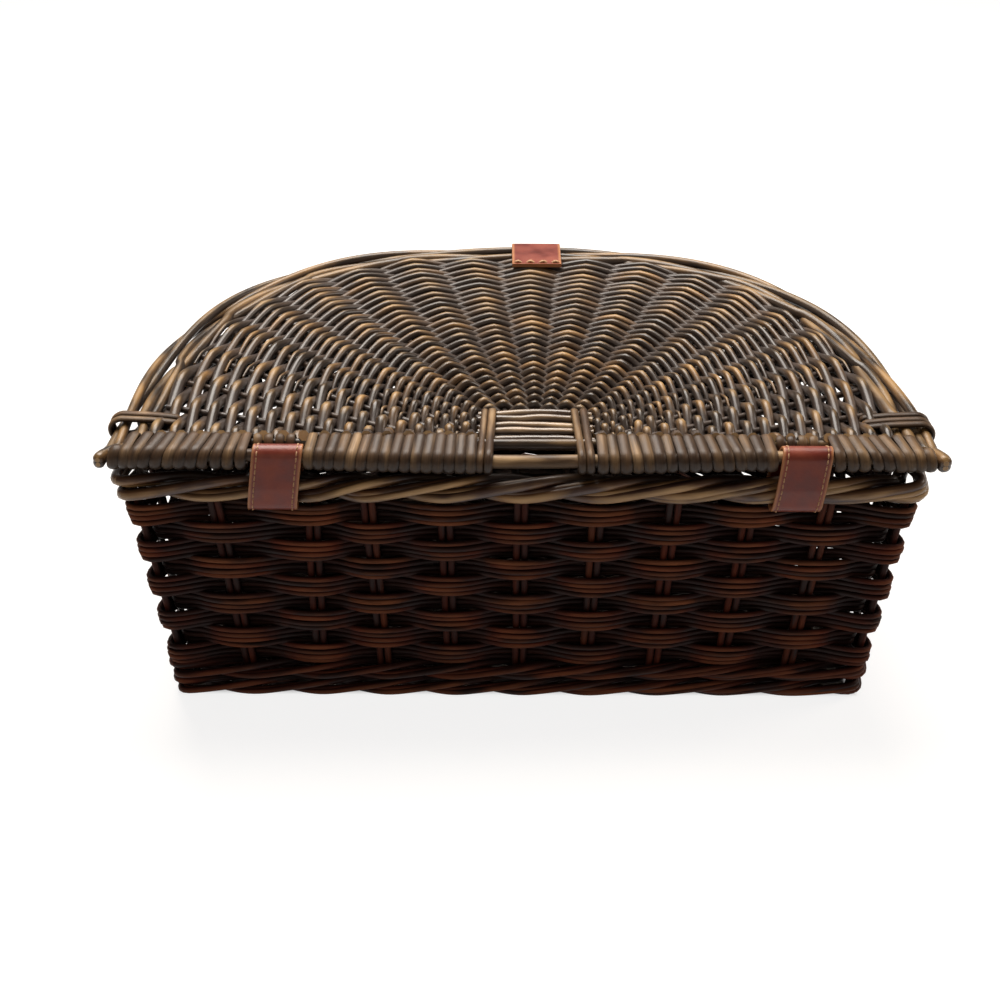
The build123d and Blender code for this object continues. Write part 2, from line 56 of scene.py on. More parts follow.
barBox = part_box("lid_front_bar")
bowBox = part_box("lid_bow_outer")
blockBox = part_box("lid_block_rods")
hinges = [middleOf("hinge_strap_left").x, middleOf("hinge_strap_right").x]
bar = dict(
    y=middleOf("lid_front_bar").y,
    z=middleOf("lid_front_bar").z,
    end=barBox[1].x,
    radius=3.7 * mm,
    hidden=9 * mm,        # the last stretch of each end, where the bow's rods take its place
    sag=3.2 * mm,
    sagHalf=116 * mm,
)
backRod = dict(y=middleOf("lid_back_rod").y, radius=3.0 * mm)
lid = dict(
    z=middleOf("lid_spokes").z,
    focusX=middleOf("lid_block_rods").x,
    bowRadii=(4.8 * mm, 3.4 * mm, 3.0 * mm),
    bowInsets=(0.0, 8.7 * mm, 15.6 * mm),
    sideRoundness=2.81,   # how square the lid's sides are
    crownRoundness=2.66,  # how square its far side is
    spokes=21,
    spokeRadius=1.9 * mm,
    spokeInset=19.5 * mm,
    rods=54,              # rods woven through the fan, three or four to a row of the CAD
    cadRows=16,
    weaveStop=20.5 * mm,  # where the rods reach the wrapping, behind the bar's axis
)
lid["halfWidth"] = (bowBox[1].x - bowBox[0].x) / 2 - lid["bowRadii"][0]
lid["depth"] = bowBox[1].y - lid["bowRadii"][0] - bar["y"]
wall = dict(
    frontBays=10,
    curveBays=20,
    baseHalf=195 * mm,
    topHalf=213 * mm,
    baseFront=10 * mm,
    topFront=5 * mm,
    baseDepth=268 * mm,
    topDepth=283 * mm,
    height=middleOf("top_border").z,
    stakeRadius=2.1 * mm,
    rows=9,
    rodsInRow=4,
    rodRadius=1.75 * mm,
    swing=5.0 * mm,
)


# Colours and materials


def colour(hexCode):
    # an sRGB hex value as the linear colour that a shader takes
    parts = [int(hexCode[i:i + 2], 16) / 255 for i in (0, 2, 4)]
    linear = [p / 12.92 if p < 0.04045 else ((p + 0.055) / 1.055) ** 2.4 for p in parts]
    return (*linear, 1.0)


def addNode(tree, kind, inputs=None, stops=(), **settings):
    # adds a shader node, sets its settings and a ramp's stops, and fills or links its inputs; a
    # node that is given for an input stands for its first output in use
    newNode = tree.nodes.new("ShaderNode" + kind)
    for key, value in settings.items():
        setattr(newNode, key, value)
    for number, (place, hexCode) in enumerate(stops):
        elements = newNode.color_ramp.elements
        element = elements[number] if number < 2 else elements.new(place)
        element.position = place
        element.color = colour(hexCode)
    for key, value in (inputs or {}).items():
        if isinstance(value, bpy.types.Node):
            value = next(output for output in value.outputs if output.enabled)
        if isinstance(value, bpy.types.NodeSocket):
            tree.links.new(value, newNode.inputs[key])
        else:
            newNode.inputs[key].default_value = value
    return newNode


def newMaterial(name, surfaceOf, *look):
    # a material whose surface one of the functions below builds
    material = bpy.data.materials.new(name)
    material.use_nodes = True
    tree = material.node_tree
    tree.nodes.clear()
    addNode(tree, "OutputMaterial", {"Surface": surfaceOf(tree, *look)})
    return material


willowScale = dict(
    fibre=(1400, 1400, 45),  # per metre: fibres 0.7 mm across and 22 mm long
    blotch=(120, 120, 28),   # per metre: blotches 8 mm across and 36 mm long
)


def willow(tree, look):
    # peeled willow rods, boiled and stained, then dipped in gloss varnish: each rod takes the stain
    # its own way, fibres run along it, and its crests are rubbed paler; the side turned away from
    # its crest carries painted shade
    seed, crestWearAndShade, cut = [
        addNode(tree, "Attribute", attribute_name=label).outputs["Fac"]
        for label in ("rodSeed", "crestWearAndShade", "cutEnd")]
    grain = addNode(tree, "Attribute", attribute_name="grain").outputs["Vector"]
    place = addNode(tree, "Mapping", {"Vector": grain, "Scale": willowScale["fibre"]})
    fibre = addNode(tree, "TexNoise", {
        "Vector": place, "Scale": 1.0, "Detail": 3.0, "Roughness": 0.6})
    place = addNode(tree, "Mapping", {"Vector": grain, "Scale": willowScale["blotch"]})
    blotch = addNode(tree, "TexNoise", {"Vector": place, "Scale": 1.0, "Detail": 2.0})
    stain = addNode(tree, "ValToRGB", {"Fac": seed}, look["stain"])
    patchy = addNode(tree, "Math", {0: blotch, 1: 0.38}, operation="SUBTRACT")
    patchy = addNode(tree, "Math", {0: patchy, 1: 2.6}, operation="MULTIPLY", use_clamp=True)
    tinted = addNode(tree, "Mix", {
        "Factor": patchy, "A": colour(look["blotch"]), "B": stain}, data_type="RGBA")
    # painted shade: where the crest value is low, the stain is mixed towards the look's darker
    # shade colour
    unshadedShare = addNode(tree, "MapRange", {
        "Value": crestWearAndShade, "From Max": 0.6, "To Min": 1 - look["paintedShadeShare"]})
    tinted = addNode(tree, "Mix", {
        "Factor": unshadedShare, "A": colour(look["paintedShade"]), "B": tinted}, data_type="RGBA")
    dark = addNode(tree, "MapRange", {
        "Value": fibre, "From Min": 0.25, "From Max": 0.7,
        "To Min": look["fibreDark"], "To Max": 1.18})
    fibred = addNode(tree, "VectorMath", {0: tinted, "Scale": dark}, operation="SCALE")
    rubbed = addNode(tree, "Math", {0: crestWearAndShade, 1: blotch}, operation="MULTIPLY")
    rubbed = addNode(tree, "MapRange", {
        "Value": rubbed, "From Min": 0.28, "From Max": 0.62, "To Max": look["rub"]})
    worn = addNode(tree, "Mix", {
        "Factor": rubbed, "A": fibred, "B": colour(look["worn"])}, data_type="RGBA")
    ended = addNode(tree, "Mix", {
        "Factor": cut, "A": worn, "B": colour(look["cutWood"])}, data_type="RGBA")
    rough = addNode(tree, "MapRange", {
        "Value": blotch, "From Min": 0.3, "From Max": 0.7,
        "To Min": look["roughness"][0], "To Max": look["roughness"][1]})
    bump = addNode(tree, "Bump", {
        "Height": fibre, "Strength": 0.35, "Distance": 0.25 * mm})
    return addNode(tree, "BsdfPrincipled", {
        "Base Color": ended, "Roughness": rough, "Normal": bump, "IOR": 1.5,
        "Specular IOR Level": look["sheen"], "Coat Weight": look["coat"], "Coat Roughness": 0.24})


# in each look, the colour listed after blotch is painted shade: it darkens the side of a rod turned
# down or in, and the stretches under or inside the weave; the number after it says how strongly
lidWillow = newMaterial("stainedWillowLid", willow, dict(
    stain=[(0.0, "3E2A16"), (0.25, "654521"), (0.5, "7D5A30"), (0.75, "9C6D2E"), (1.0, "A57B48")],
    blotch="30210F", paintedShade="4E4542", paintedShadeShare=0.7, fibreDark=0.5, worn="C9A26A", rub=0.6,
    cutWood="B08E62", roughness=(0.3, 0.52), sheen=0.45, coat=0.25))
barLook = dict(
    stain=[(0.0, "664C32"), (0.3, "8C6A48"), (0.6, "AE8A5E"), (1.0, "CCA67A")],
    blotch="4E3A2A", paintedShade="241A14", paintedShadeShare=0.85, fibreDark=0.55, worn="E8C698", rub=0.75,
    cutWood="B08E62", roughness=(0.38, 0.56), sheen=0.26, coat=0.06)
wornWillow = newMaterial("rubbedWillowBar", willow, barLook)
blockWillow = newMaterial("varnishedWillowBlock", willow, dict(
    barLook, roughness=(0.24, 0.38), sheen=0.5, coat=0.5))
borderWillow = newMaterial("stainedWillowBorder", willow, dict(
    stain=[(0.0, "8C6038"), (0.4, "B4844E"), (1.0, "CCA36C")],
    blotch="46281A", paintedShade="1E0E08", paintedShadeShare=0.9, fibreDark=0.5, worn="E6C290", rub=0.75,
    cutWood="B08E62", roughness=(0.36, 0.55), sheen=0.4, coat=0.2))
wallWillow = newMaterial("stainedWillowWall", willow, dict(
    stain=[(0.0, "44190F"), (0.3, "622A1A"), (0.6, "7C3A26"), (0.85, "8C4A30"), (1.0, "985C3C")],
    blotch="260E08", paintedShade="160605", paintedShadeShare=0.85, fibreDark=0.45, worn="A46A48", rub=0.4,
    cutWood="8A6844", roughness=(0.5, 0.7), sheen=0.16, coat=0.0))
baseWillow = newMaterial("stainedWillowBase", willow, dict(
    stain=[(0.0, "24150E"), (0.4, "3A2417"), (1.0, "553722")],
    blotch="1B110B", paintedShade="1B110B", paintedShadeShare=0.3, fibreDark=0.6, worn="6E4C33", rub=0.3,
    cutWood="8A6844", roughness=(0.45, 0.65), sheen=0.3, coat=0.0))


def glazedHide(tree):
    # vegetable tanned leather, dyed red brown and glazed: fine pebbled grain 0.8 mm apart, soft
    # mottling 14 mm apart, paler where it is cut
    place = addNode(tree, "TexCoord").outputs["Object"]
    edge = addNode(tree, "Attribute", attribute_name="edge").outputs["Fac"]
    mottle = addNode(tree, "TexNoise", {"Vector": place, "Scale": 70.0, "Detail": 4.0})
    tone = addNode(tree, "ValToRGB", {"Fac": mottle}, [
        (0.3, "601E13"), (0.5, "7A2D1D"), (0.72, "90412A")])
    pores = addNode(tree, "TexVoronoi", {"Vector": place, "Scale": 1300.0})
    creases = addNode(tree, "TexNoise", {"Vector": place, "Scale": 420.0, "Detail": 4.0})
    edged = addNode(tree, "Mix", {
        "Factor": edge, "A": tone, "B": colour("B5784F")}, data_type="RGBA")
    rough = addNode(tree, "MapRange", {
        "Value": mottle, "From Min": 0.3, "From Max": 0.7, "To Min": 0.32, "To Max": 0.5})
    relief = addNode(tree, "Math", {0: pores, 1: creases}, operation="ADD")
    bump = addNode(tree, "Bump", {"Height": relief, "Strength": 0.22, "Distance": 0.2 * mm})
    return addNode(tree, "BsdfPrincipled", {
        "Base Color": edged, "Roughness": rough, "Normal": bump, "IOR": 1.48,
        "Specular IOR Level": 0.45, "Coat Weight": 0.15, "Coat Roughness": 0.22})


def waxedThread(tree):
    # twisted linen thread, waxed: pale tan with a fine twist along each stitch
    place = addNode(tree, "TexCoord").outputs["Object"]
    twist = addNode(tree, "TexNoise", {"Vector": place, "Scale": 1800.0, "Detail": 2.0})
    tone = addNode(tree, "ValToRGB", {"Fac": twist}, [(0.35, "A87850"), (0.65, "DDB48C")])
    return addNode(tree, "BsdfPrincipled", {"Base Color": tone, "Roughness": 0.6})


def stampedBrass(tree):
    # sheet brass, stamped and tumbled: satin, with fine hairlines and a little tarnish
    place = addNode(tree, "TexCoord").outputs["Object"]
    stretched = addNode(tree, "Mapping", {"Vector": place, "Scale": (300, 300, 3000)})
    lines = addNode(tree, "TexNoise", {"Vector": stretched, "Scale": 1.0, "Detail": 3.0})
    tarnish = addNode(tree, "TexNoise", {"Vector": place, "Scale": 120.0, "Detail": 3.0})
    tone = addNode(tree, "ValToRGB", {"Fac": tarnish}, [
        (0.3, "9A7838"), (0.6, "C9A257"), (0.8, "D6B46E")])
    rough = addNode(tree, "MapRange", {
        "Value": lines, "From Min": 0.3, "From Max": 0.7, "To Min": 0.24, "To Max": 0.44})
    return addNode(tree, "BsdfPrincipled", {
        "Base Color": tone, "Metallic": 1.0, "Roughness": rough})


def planedWillow(tree):
    # a hoop shaved flat: its grain lies in layers 1 mm thick that run right round it
    place = addNode(tree, "TexCoord").outputs["Object"]
    layers = addNode(tree, "Mapping", {"Vector": place, "Scale": (40, 40, 900)})
    fibres = addNode(tree, "TexNoise", {"Vector": layers, "Scale": 1.0, "Detail": 4.0})
    tone = addNode(tree, "ValToRGB", {"Fac": fibres}, [(0.3, "24150E"), (0.7, "4A3020")])
    bump = addNode(tree, "Bump", {"Height": fibres, "Strength": 0.3, "Distance": 0.3 * mm})
    return addNode(tree, "BsdfPrincipled", {"Base Color": tone, "Roughness": 0.55, "Normal": bump})


hideLeather = newMaterial("glazedHideLeather", glazedHide)
thread = newMaterial("waxedLinenThread", waxedThread)
brass = newMaterial("tumbledBrass", stampedBrass)
print("materials made")


# Paths: lengths along them, and a slow drift, since no willow rod is straight


def unit(vectors):
    return vectors / np.maximum(np.linalg.norm(vectors, axis=-1, keepdims=True), 1e-12)


def runAlong(points):
    # how far along its path each point lies
    return np.concatenate([[0], np.cumsum(np.linalg.norm(np.diff(points, axis=0), axis=1))])


def readAt(along, length, values):
    # what a path's points hold, read at other distances along it
    return np.stack([np.interp(along, length, column) for column in values.T], -1)


def wander(count, size, smooth=9):
    draw = randomDraw.normal(0, 1, count)
    kernel = np.hanning(2 * smooth + 1)
    drift = np.convolve(np.resize(draw, count + 2 * smooth), kernel / kernel.sum(), "valid")
    return size * drift[:count] * math.sqrt(smooth)


def halfMoon(turn, halfWidth, depth):
    # the plan that the lid and the wall share, from one end of its straight front to the other
    x = halfWidth * np.sign(np.cos(turn)) * np.abs(np.cos(turn)) ** (2 / lid["sideRoundness"])
    y = depth * np.abs(np.sin(turn)) ** (2 / lid["crownRoundness"])
    return np.stack([x, y], -1)


def halfWidthAt(y, halfWidth, depth):
    share = 1 - max(y / depth, 0) ** lid["crownRoundness"]
    return halfWidth * max(share, 0) ** (1 / lid["sideRoundness"])


def depthAt(x, halfWidth, depth):
    share = 1 - abs(x / halfWidth) ** lid["sideRoundness"]
    return depth * max(share, 0) ** (1 / lid["crownRoundness"])


# Pieces: each rod is a round willow rod along a path, with its own stain


def addObject(name, data):
    piece = bpy.data.objects.new(name, data)
    scene.collection.objects.link(piece)
    return piece


def finishPiece(piece, body, material, nodes):
    piece.data.materials.clear()
    piece.data.materials.append(material)
    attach(piece, body)
    if nodes:
        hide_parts(*nodes)


def rod(points, radius, closed=False, across=(0, 0, 1), face=(0, 0, 1), share=0.0, flat=1.0):
    # a rod's path, thickness, and where its crests face: face and share set where it is rubbed
    # paler and how strongly the side turned away from face carries painted shade; flat is its
    # height over its width
    points = np.asarray(points, float)
    count = len(points)
    return dict(
        points=points,
        radius=np.broadcast_to(np.asarray(radius, float), count),
        closed=closed,
        across=np.asarray(across, float),
        face=np.broadcast_to(np.asarray(face, float), (count, 3)),
        share=np.broadcast_to(np.asarray(share, float), count),
        flat=flat,
    )


def layRods(name, rods, body, material, nodes, sides=8):
    # one piece of the basket out of its rods
    spots, faces, seeds, wearAndShadeMasks, cuts, grains = [], [], [], [], [], []
    turns = 2 * math.pi * (np.arange(sides) + 0.5) / sides
    start = 0
    for one in rods:
        points, radius = one["points"], one["radius"][:, None]
        count = len(points)
        if one["closed"]:
            ahead = np.roll(points, -1, 0) - np.roll(points, 1, 0)
        else:
            ahead = np.gradient(points, axis=0)
        ahead = unit(ahead)
        up = unit(one["across"] - (ahead @ one["across"])[:, None] * ahead)
        sideways = one["flat"] * np.cross(ahead, up)
        ring = np.cos(turns)[:, None] * up[:, None] + np.sin(turns)[:, None] * sideways[:, None]
        tube = points[:, None] + radius[:, None] * ring
        spots.append(tube.reshape(-1, 3))
        seed = randomDraw.random()
        grain = np.empty((count, sides, 3))
        grain[:, :, 0] = np.cos(turns) * radius + seed
        grain[:, :, 1] = np.sin(turns) * radius
        grain[:, :, 2] = (runAlong(points) + seed * 7)[:, None]
        grains.append(grain.reshape(-1, 3))
        seeds.append(np.full(count * sides, seed))
        # painted shade: how far each point faces the crest direction, scaled by share; a low value
        # gives it the willow's painted shade colour
        facing = np.clip(np.einsum("nsk,nk->ns", ring, one["face"]), 0, 1)
        wearAndShadeMasks.append((facing * np.clip(one["share"], 0, 1)[:, None]).reshape(-1))
        cuts.append(np.zeros(count * sides))
        index = start + np.arange(count * sides).reshape(count, sides)
        following = np.roll(index, -1, 1)
        quads = np.stack([index, following, np.roll(following, -1, 0), np.roll(index, -1, 0)], -1)
        last = count if one["closed"] else count - 1
        faces += quads[:last].reshape(-1, 4).tolist()
        start += count * sides
        if one["closed"]:
            continue
        for end in (0, count - 1):
            cap = start + np.arange(sides)
            faces.append((cap[::-1] if end == 0 else cap).tolist())
            spots.append(tube[end])
            grains.append(grain[end])
            seeds.append(np.full(sides, seed))
            wearAndShadeMasks.append(np.zeros(sides))
            cuts.append(np.ones(sides))
            start += sides
    mesh = bpy.data.meshes.new(name)
    mesh.from_pydata(np.concatenate(spots).tolist(), [], faces)
    for label, values in (("rodSeed", seeds), ("crestWearAndShade", wearAndShadeMasks), ("cutEnd", cuts)):
        mesh.attributes.new(label, "FLOAT", "POINT").data.foreach_set(
            "value", np.concatenate(values).astype(np.float32))
    mesh.attributes.new("grain", "FLOAT_VECTOR", "POINT").data.foreach_set(
        "vector", np.concatenate(grains).astype(np.float32).ravel())
    mesh.shade_smooth()
    mesh.set_sharp_from_angle(angle=math.radians(50))
    finishPiece(addObject(name, mesh), body, material, nodes)


# The fan's outline: how far the hub and the rim lie from the focus, for any direction


def reachTo(turn, halfWidth, depth, sidePower, crownPower, shift):
    near = np.zeros_like(turn)
    far = np.full_like(turn, halfWidth + depth)
    for _ in range(40):
        middle = (near + far) / 2
        x = middle * np.cos(turn) + shift
        y = middle * np.sin(turn)
        inside = np.abs(x / halfWidth) ** sidePower + np.abs(y / depth) ** crownPower < 1
        near = np.where(inside, middle, near)
        far = np.where(inside, far, middle)
    return near


def rimReach(turn, inset):
    return reachTo(turn, lid["halfWidth"] - inset, lid["depth"] - inset,
                   lid["sideRoundness"], lid["crownRoundness"], lid["focusX"])


block = dict(
    halfLength=(blockBox[1].x - blockBox[0].x) / 2,
    end=blockBox[1].y - bar["y"],
    sideGap=2.0 * mm,
    endGap=4.0 * mm,
    squareness=6.0,
    rodRadius=2.6 * mm,
    apart=2.75 * mm,  # each rod of a pair from the pair's middle
    step=0.3 * mm,
    arch=1.7 * mm,
    pairs=((0.03, 0.55), (0.50, 0.35), (0.93, 0.0)),  # place over the depth, share of the sag
)


def hubReach(turn):
    return reachTo(turn, block["halfLength"] + block["sideGap"], block["end"] + block["endGap"],
                   block["squareness"], block["squareness"], 0.0)


# Lid: the rods of the fan, over one spoke and under the next, each against its neighbour

fan = dict(
    samplesPerSpoke=10,
    outerInset=17.6 * mm,
    height=4.1 * mm,
    nearHeight=3.0 * mm,   # beside the block, where the rods are thin
    fullHeightAt=110 * mm,
    shortFrom=22,          # degrees from the bar between which the short rods come in
    shortTo=52,
    shownFrom=0.18,        # share of its full width at which a short rod starts
    tuck=2.6 * mm,         # how far its tip goes under its neighbours
    tuckBelow=0.55,
    fill=0.54,             # a rod's radius over its pitch
    leastRadius=0.9 * mm,
    drift=0.35 * mm,
    lift=0.2 * mm,
    straight=0.55,         # share of straight rise in a rod's wave
)


def weightsAt(turn):
    # how wide each rod lies at a direction: two pairs in five are short and fill only the middle
    fromBar = np.degrees(np.minimum(turn, math.pi - turn))
    part = np.clip((fromBar - fan["shortFrom"]) / (fan["shortTo"] - fan["shortFrom"]), 0, 1)
    short = part * part * (3 - 2 * part)
    whole = np.ones_like(turn)
    return np.array([short if i // 2 % 5 in (1, 3) else whole for i in range(lid["rods"])])


def fanRod(number):
    bays = lid["spokes"] + 1
    turn = np.linspace(0.001, math.pi - 0.001, bays * fan["samplesPerSpoke"] + 1)
    hub = hubReach(turn)
    rim = rimReach(turn, fan["outerInset"])
    weights = weightsAt(turn)
    own = weights[number]
    share = (weights[:number].sum(0) + own / 2) / weights.sum(0)
    pitch = (rim - hub) * own / weights.sum(0)
    radius = hub + (rim - hub) * share + wander(len(turn), fan["drift"], 14)
    wave = np.cos(math.pi * (turn / math.pi * bays + number))
    wave = (1 - fan["straight"]) * wave + fan["straight"] * np.arcsin(wave) * 2 / math.pi
    height = np.interp(radius, [0, fan["fullHeightAt"]], [fan["nearHeight"], fan["height"]])
    x = lid["focusX"] + radius * np.cos(turn)
    y = bar["y"] + radius * np.sin(turn)
    z = lid["z"] + height * wave + wander(len(turn), fan["lift"], 8)
    z = z - fan["tuck"] * np.clip(1 - own / fan["tuckBelow"], 0, 1)
    inside = (y > bar["y"] + lid["weaveStop"] + 3 * mm) & (own > fan["shownFrom"])
    points = np.stack([x, y, z], -1)[inside]
    thick = fan["fill"] * pitch * randomDraw.uniform(0.92, 1.06)
    thick = np.maximum(thick, fan["leastRadius"])[inside]
    # painted shade: the crest value is high where a rod rides over a spoke and nothing where it
    # dips under, and on its underside and tails
    crestWearAndShade = np.clip(wave, 0, 1)[inside]
    if own.min() < 0.5:
        return rod(points, thick, share=crestWearAndShade)
    # a long rod's ends go over or under the rod behind the bar
    tailZ = bar["z"] + (1 if number % 2 == 0 else -1) * (backRod["radius"] + 1.7 * mm)
    for end in (0, -1):
        x, _, z = points[end]
        tail = np.array([
            [x, bar["y"] + lid["weaveStop"] - 0.5 * mm, z + 0.6 * (tailZ - z)],
            [x, backRod["y"], tailZ]])
        points = np.concatenate([tail[::-1], points] if end == 0 else [points, tail])
    return rod(points, np.pad(thick, 2, "edge"), share=np.pad(crestWearAndShade, 2))


rodsByRow = [[] for _ in range(lid["cadRows"])]
for number in range(lid["rods"]):
    rodsByRow[number * lid["cadRows"] // lid["rods"]].append(fanRod(number))
for row, rods in enumerate(rodsByRow, 1):
    layRods("fanRow%02d" % row, rods, "lid", lidWillow, ["lid_row_%02d" % row])
print("fan woven")

# Lid: spokes from the block to the bow

spokeRods = []
for index in range(lid["spokes"]):
    turn = math.pi * (index + 1) / (lid["spokes"] + 1)
    hub, rim = hubReach(np.array([turn]))[0], rimReach(np.array([turn]), lid["spokeInset"])[0]
    first = max(hub - 1.5 * mm, (lid["weaveStop"] + 2 * mm) / math.sin(turn))
    if rim - first < 12 * mm:
        continue
    reach = np.linspace(first, rim, 14)
    # with no share given, the spokes carry painted shade all over, as they lie under the fan's rods
    spokeRods.append(rod(np.stack([
        lid["focusX"] + reach * math.cos(turn),
        bar["y"] + reach * math.sin(turn),
        np.full(14, lid["z"])], -1), lid["spokeRadius"]))
layRods("fanSpokes", spokeRods, "lid", lidWillow, ["lid_spokes"])

# Lid: the three long rods of the bow, which sway a little along their run

bow = dict(
    start=12 * mm,            # where the outer and middle rods leave the bar
    innerStart=6.3 * mm,
    inset=10.6 * mm,
    twist=150 * mm,           # the middle and inner rods drift over each other, once in this length
    sway=2.7 * mm,
    lift=1.2 * mm,
    drift=0.35 * mm,
    strandRadius=2.9 * mm,    # the outer rod is a pair laid round each other
    strandApart=2.1 * mm,
    strandTurns=3.5,
    swell=np.array([0.5, 0.95, 1.2, 1.25, 1.25, 1.2, 1.15, 1.1, 1.05]),  # towards the pair's ends
    pairEnd=(3.4 * mm, bar["y"] - 4.5 * mm, bar["z"] - 1.0 * mm),  # short of the bar's end, y, z
    pairDrop=2.8 * mm,        # of the second strand's end below the first's
    middleEnd=(13 * mm, bar["y"] + 5 * mm, bar["z"]),
)


def bowLine(inset, start, count=220):
    line = halfMoon(np.linspace(0.0, math.pi, 1200), lid["halfWidth"] - inset, lid["depth"] - inset)
    line = line[line[:, 1] > start]
    length = runAlong(line)
    return readAt(np.linspace(0, length[-1], count), length, line) + (0, bar["y"])


def pastBar(points, count, finish, drop=0.0):
    # both ends of a bow rod go on towards the bar's ends, spreading as they come forward
    parts = [points]
    for end in (0, -1):
        tip = points[end]
        x = math.copysign(bar["end"] - finish[0], tip[0])
        goal = np.array([x, finish[1], finish[2] - drop])
        part = np.append(np.linspace(0, 0.9, count - 1)[1:], (0.96, 1.0))[:, None]
        bend = tip + (goal - tip) * part
        bend[:, 0] = tip[0] + (goal[0] - tip[0]) * np.sin(part[:, 0] * math.pi / 2)
        parts = [bend[::-1]] + parts if end == 0 else parts + [bend]
    return np.concatenate(parts)


for name, radius, begin in zip(("Outer", "Middle", "Inner"), lid["bowRadii"], (0, 0, 1)):
    outer = name == "Outer"
    start = bow["innerStart"] if name == "Inner" else bow["start"]
    line = bowLine(0.0 if outer else bow["inset"], start)
    count = len(line)
    sway = wander(count, bow["drift"], 25)
    z = lid["z"] + wander(count, bow["drift"], 25)
    if not outer:
        turn = math.pi * begin + 2 * math.pi * runAlong(line) / bow["twist"]
        sway = sway + bow["sway"] * np.sign(np.cos(turn)) * np.abs(np.cos(turn)) ** 0.45
        z = z + bow["lift"] * np.sin(turn)
    taper = np.interp(np.arange(count), [0, count * 0.5, count], [1.06, 1.0, 0.9])
    outward = unit(line - (0, bar["y"] + 80 * mm))
    apart = bow["strandApart"] if outer else 0.0
    strands = []
    for strand in range(2 if outer else 1):
        turn = math.pi * strand + 2 * math.pi * np.arange(count) / count * bow["strandTurns"]
        points = np.column_stack([
            line + outward * (sway + apart * np.cos(turn))[:, None], z + apart * np.sin(turn)])
        thick = (bow["strandRadius"] if outer else radius) * taper
        if outer:
            points = pastBar(points, 9, bow["pairEnd"], bow["pairDrop"] * strand)
            thick = np.concatenate([thick[0] * bow["swell"], thick, thick[-1] * bow["swell"][::-1]])
        elif name == "Middle":
            points = pastBar(points, 6, bow["middleEnd"])
            thick = np.pad(thick, 6, "edge")
        # painted shade on the underside of each bow rod, which faces away from up
        strands.append(rod(points, thick, share=0.8))
    layRods("bow" + name, strands, "lid", lidWillow, ["lid_bow_" + name.lower()], 12)

# Lid: the bar, the thin rod behind it and the block of rods on its middle


def sagAt(x):
    # the bar hangs a little between its two leather loops, and is straight where it turns in them
    return bar["sag"] * np.clip(1 - (np.asarray(x) / bar["sagHalf"]) ** 2, 0, 1)


def straightRod(x0, x1, y, z, radius, bend=0.3 * mm, arch=0.0, count=40, sag=0.0):
    x = np.linspace(x0, x1, count)
    part = np.linspace(-1, 1, count)
    points = np.stack([
        x,
        y + wander(count, bend),
        z + wander(count, bend) + arch * (1 - part ** 2) - sag * sagAt(x)], -1)
    # painted shade on the underside and back of each straight rod, which face away from up and
    # forward
    return rod(points, radius * (1 + wander(count, 0.02)), face=(0, -0.5, 0.85), share=0.7)


layRods("frontBar", [straightRod(
    barBox[0].x + bar["hidden"], barBox[1].x - bar["hidden"], bar["y"], bar["z"], bar["radius"],
    0.1 * mm, count=80, sag=1.0)], "lid", wornWillow, ["lid_front_bar"], 20)
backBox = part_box("lid_back_rod")
layRods("backBar", [straightRod(
    backBox[0].x, backBox[1].x, backRod["y"], bar["z"], backRod["radius"], 0.1 * mm)],
    "lid", lidWillow, ["lid_back_rod"], 12)
blockRods = []
for share, dip in block["pairs"]:
    middle = blockBox[0].y + share * (blockBox[1].y - blockBox[0].y)
    for side in (-1, 1):
        blockRods.append(straightRod(
            blockBox[0].x, blockBox[1].x, middle + side * block["apart"],
            lid["z"] + side * block["step"], block["rodRadius"], arch=block["arch"], sag=dip))
layRods("blockRods", blockRods, "lid", blockWillow, ["lid_block_rods"], 14)


# Lid: wrapping and lashings, each turn a rod drawn round others


def hull(circles, extra, count=40):
    # the line that a tight rod takes round a few rods, seen from their ends
    turn = 2 * math.pi * np.arange(count * 6) / (count * 6)
    direction = np.stack([np.cos(turn), np.sin(turn)], -1)
    centres = np.array([c[:2] for c in circles])
    radii = np.array([c[2] for c in circles]) + extra
    best = np.argmax(direction @ centres.T + radii, axis=1)
    points = centres[best] + radii[best][:, None] * direction
    closed = np.vstack([points, points[:1]])
    length = runAlong(closed)
    return readAt(np.linspace(0, length[-1], count, endpoint=False), length, closed)


def wrapRound(x, circles, thick, slant, flat, count=44):
    # a closed turn of rod round the circles, which are given as (y, z, radius); it leans by
    # slant between its low front and its high back
    loop = hull(circles, thick * flat, count)
    rise = 0.6 * loop[:, 0] + 0.8 * loop[:, 1]
    drift = slant * (rise - rise.mean()) / np.ptp(rise)
    points = np.column_stack([np.full(count, x) + drift, loop])
    # painted shade: face leans up and forward, so the underside and back of each turn carry painted
    # shade
    return rod(points, thick, closed=True, across=(1, 0, 0), face=(0, -0.42, 0.91),
               share=0.95, flat=flat)


wrap = dict(
    halfWidth=3.15 * mm,
    flat=0.52,
    slant=(1.5 * mm, 6.5 * mm),  # near the block and near the bar's ends
    pitch=6.0 * mm,
    drop=1.2 * mm,
    lowMargin=3.2 * mm,
    highMargin=2.8 * mm,
    loopMargin=5.2 * mm,         # a loop leans over its right-hand neighbour
    backEnd=214 * mm,            # past this the turns go round the bar alone
)
backCircle = (backRod["y"], bar["z"], backRod["radius"])
stretches = dict(
    farLeft="lid_bar_wrap_far_left", left="lid_bar_wrap_left",
    right="lid_bar_wrap_right", farRight="lid_bar_wrap_far_right")
stretchEnds = {key: [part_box(node)[0].x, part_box(node)[1].x] for key, node in stretches.items()}
stretchEnds["farLeft"][0] = bar["hidden"] - bar["end"]
stretchEnds["farRight"][1] = bar["end"] - bar["hidden"]
turnsOf = {key: [] for key in stretches}
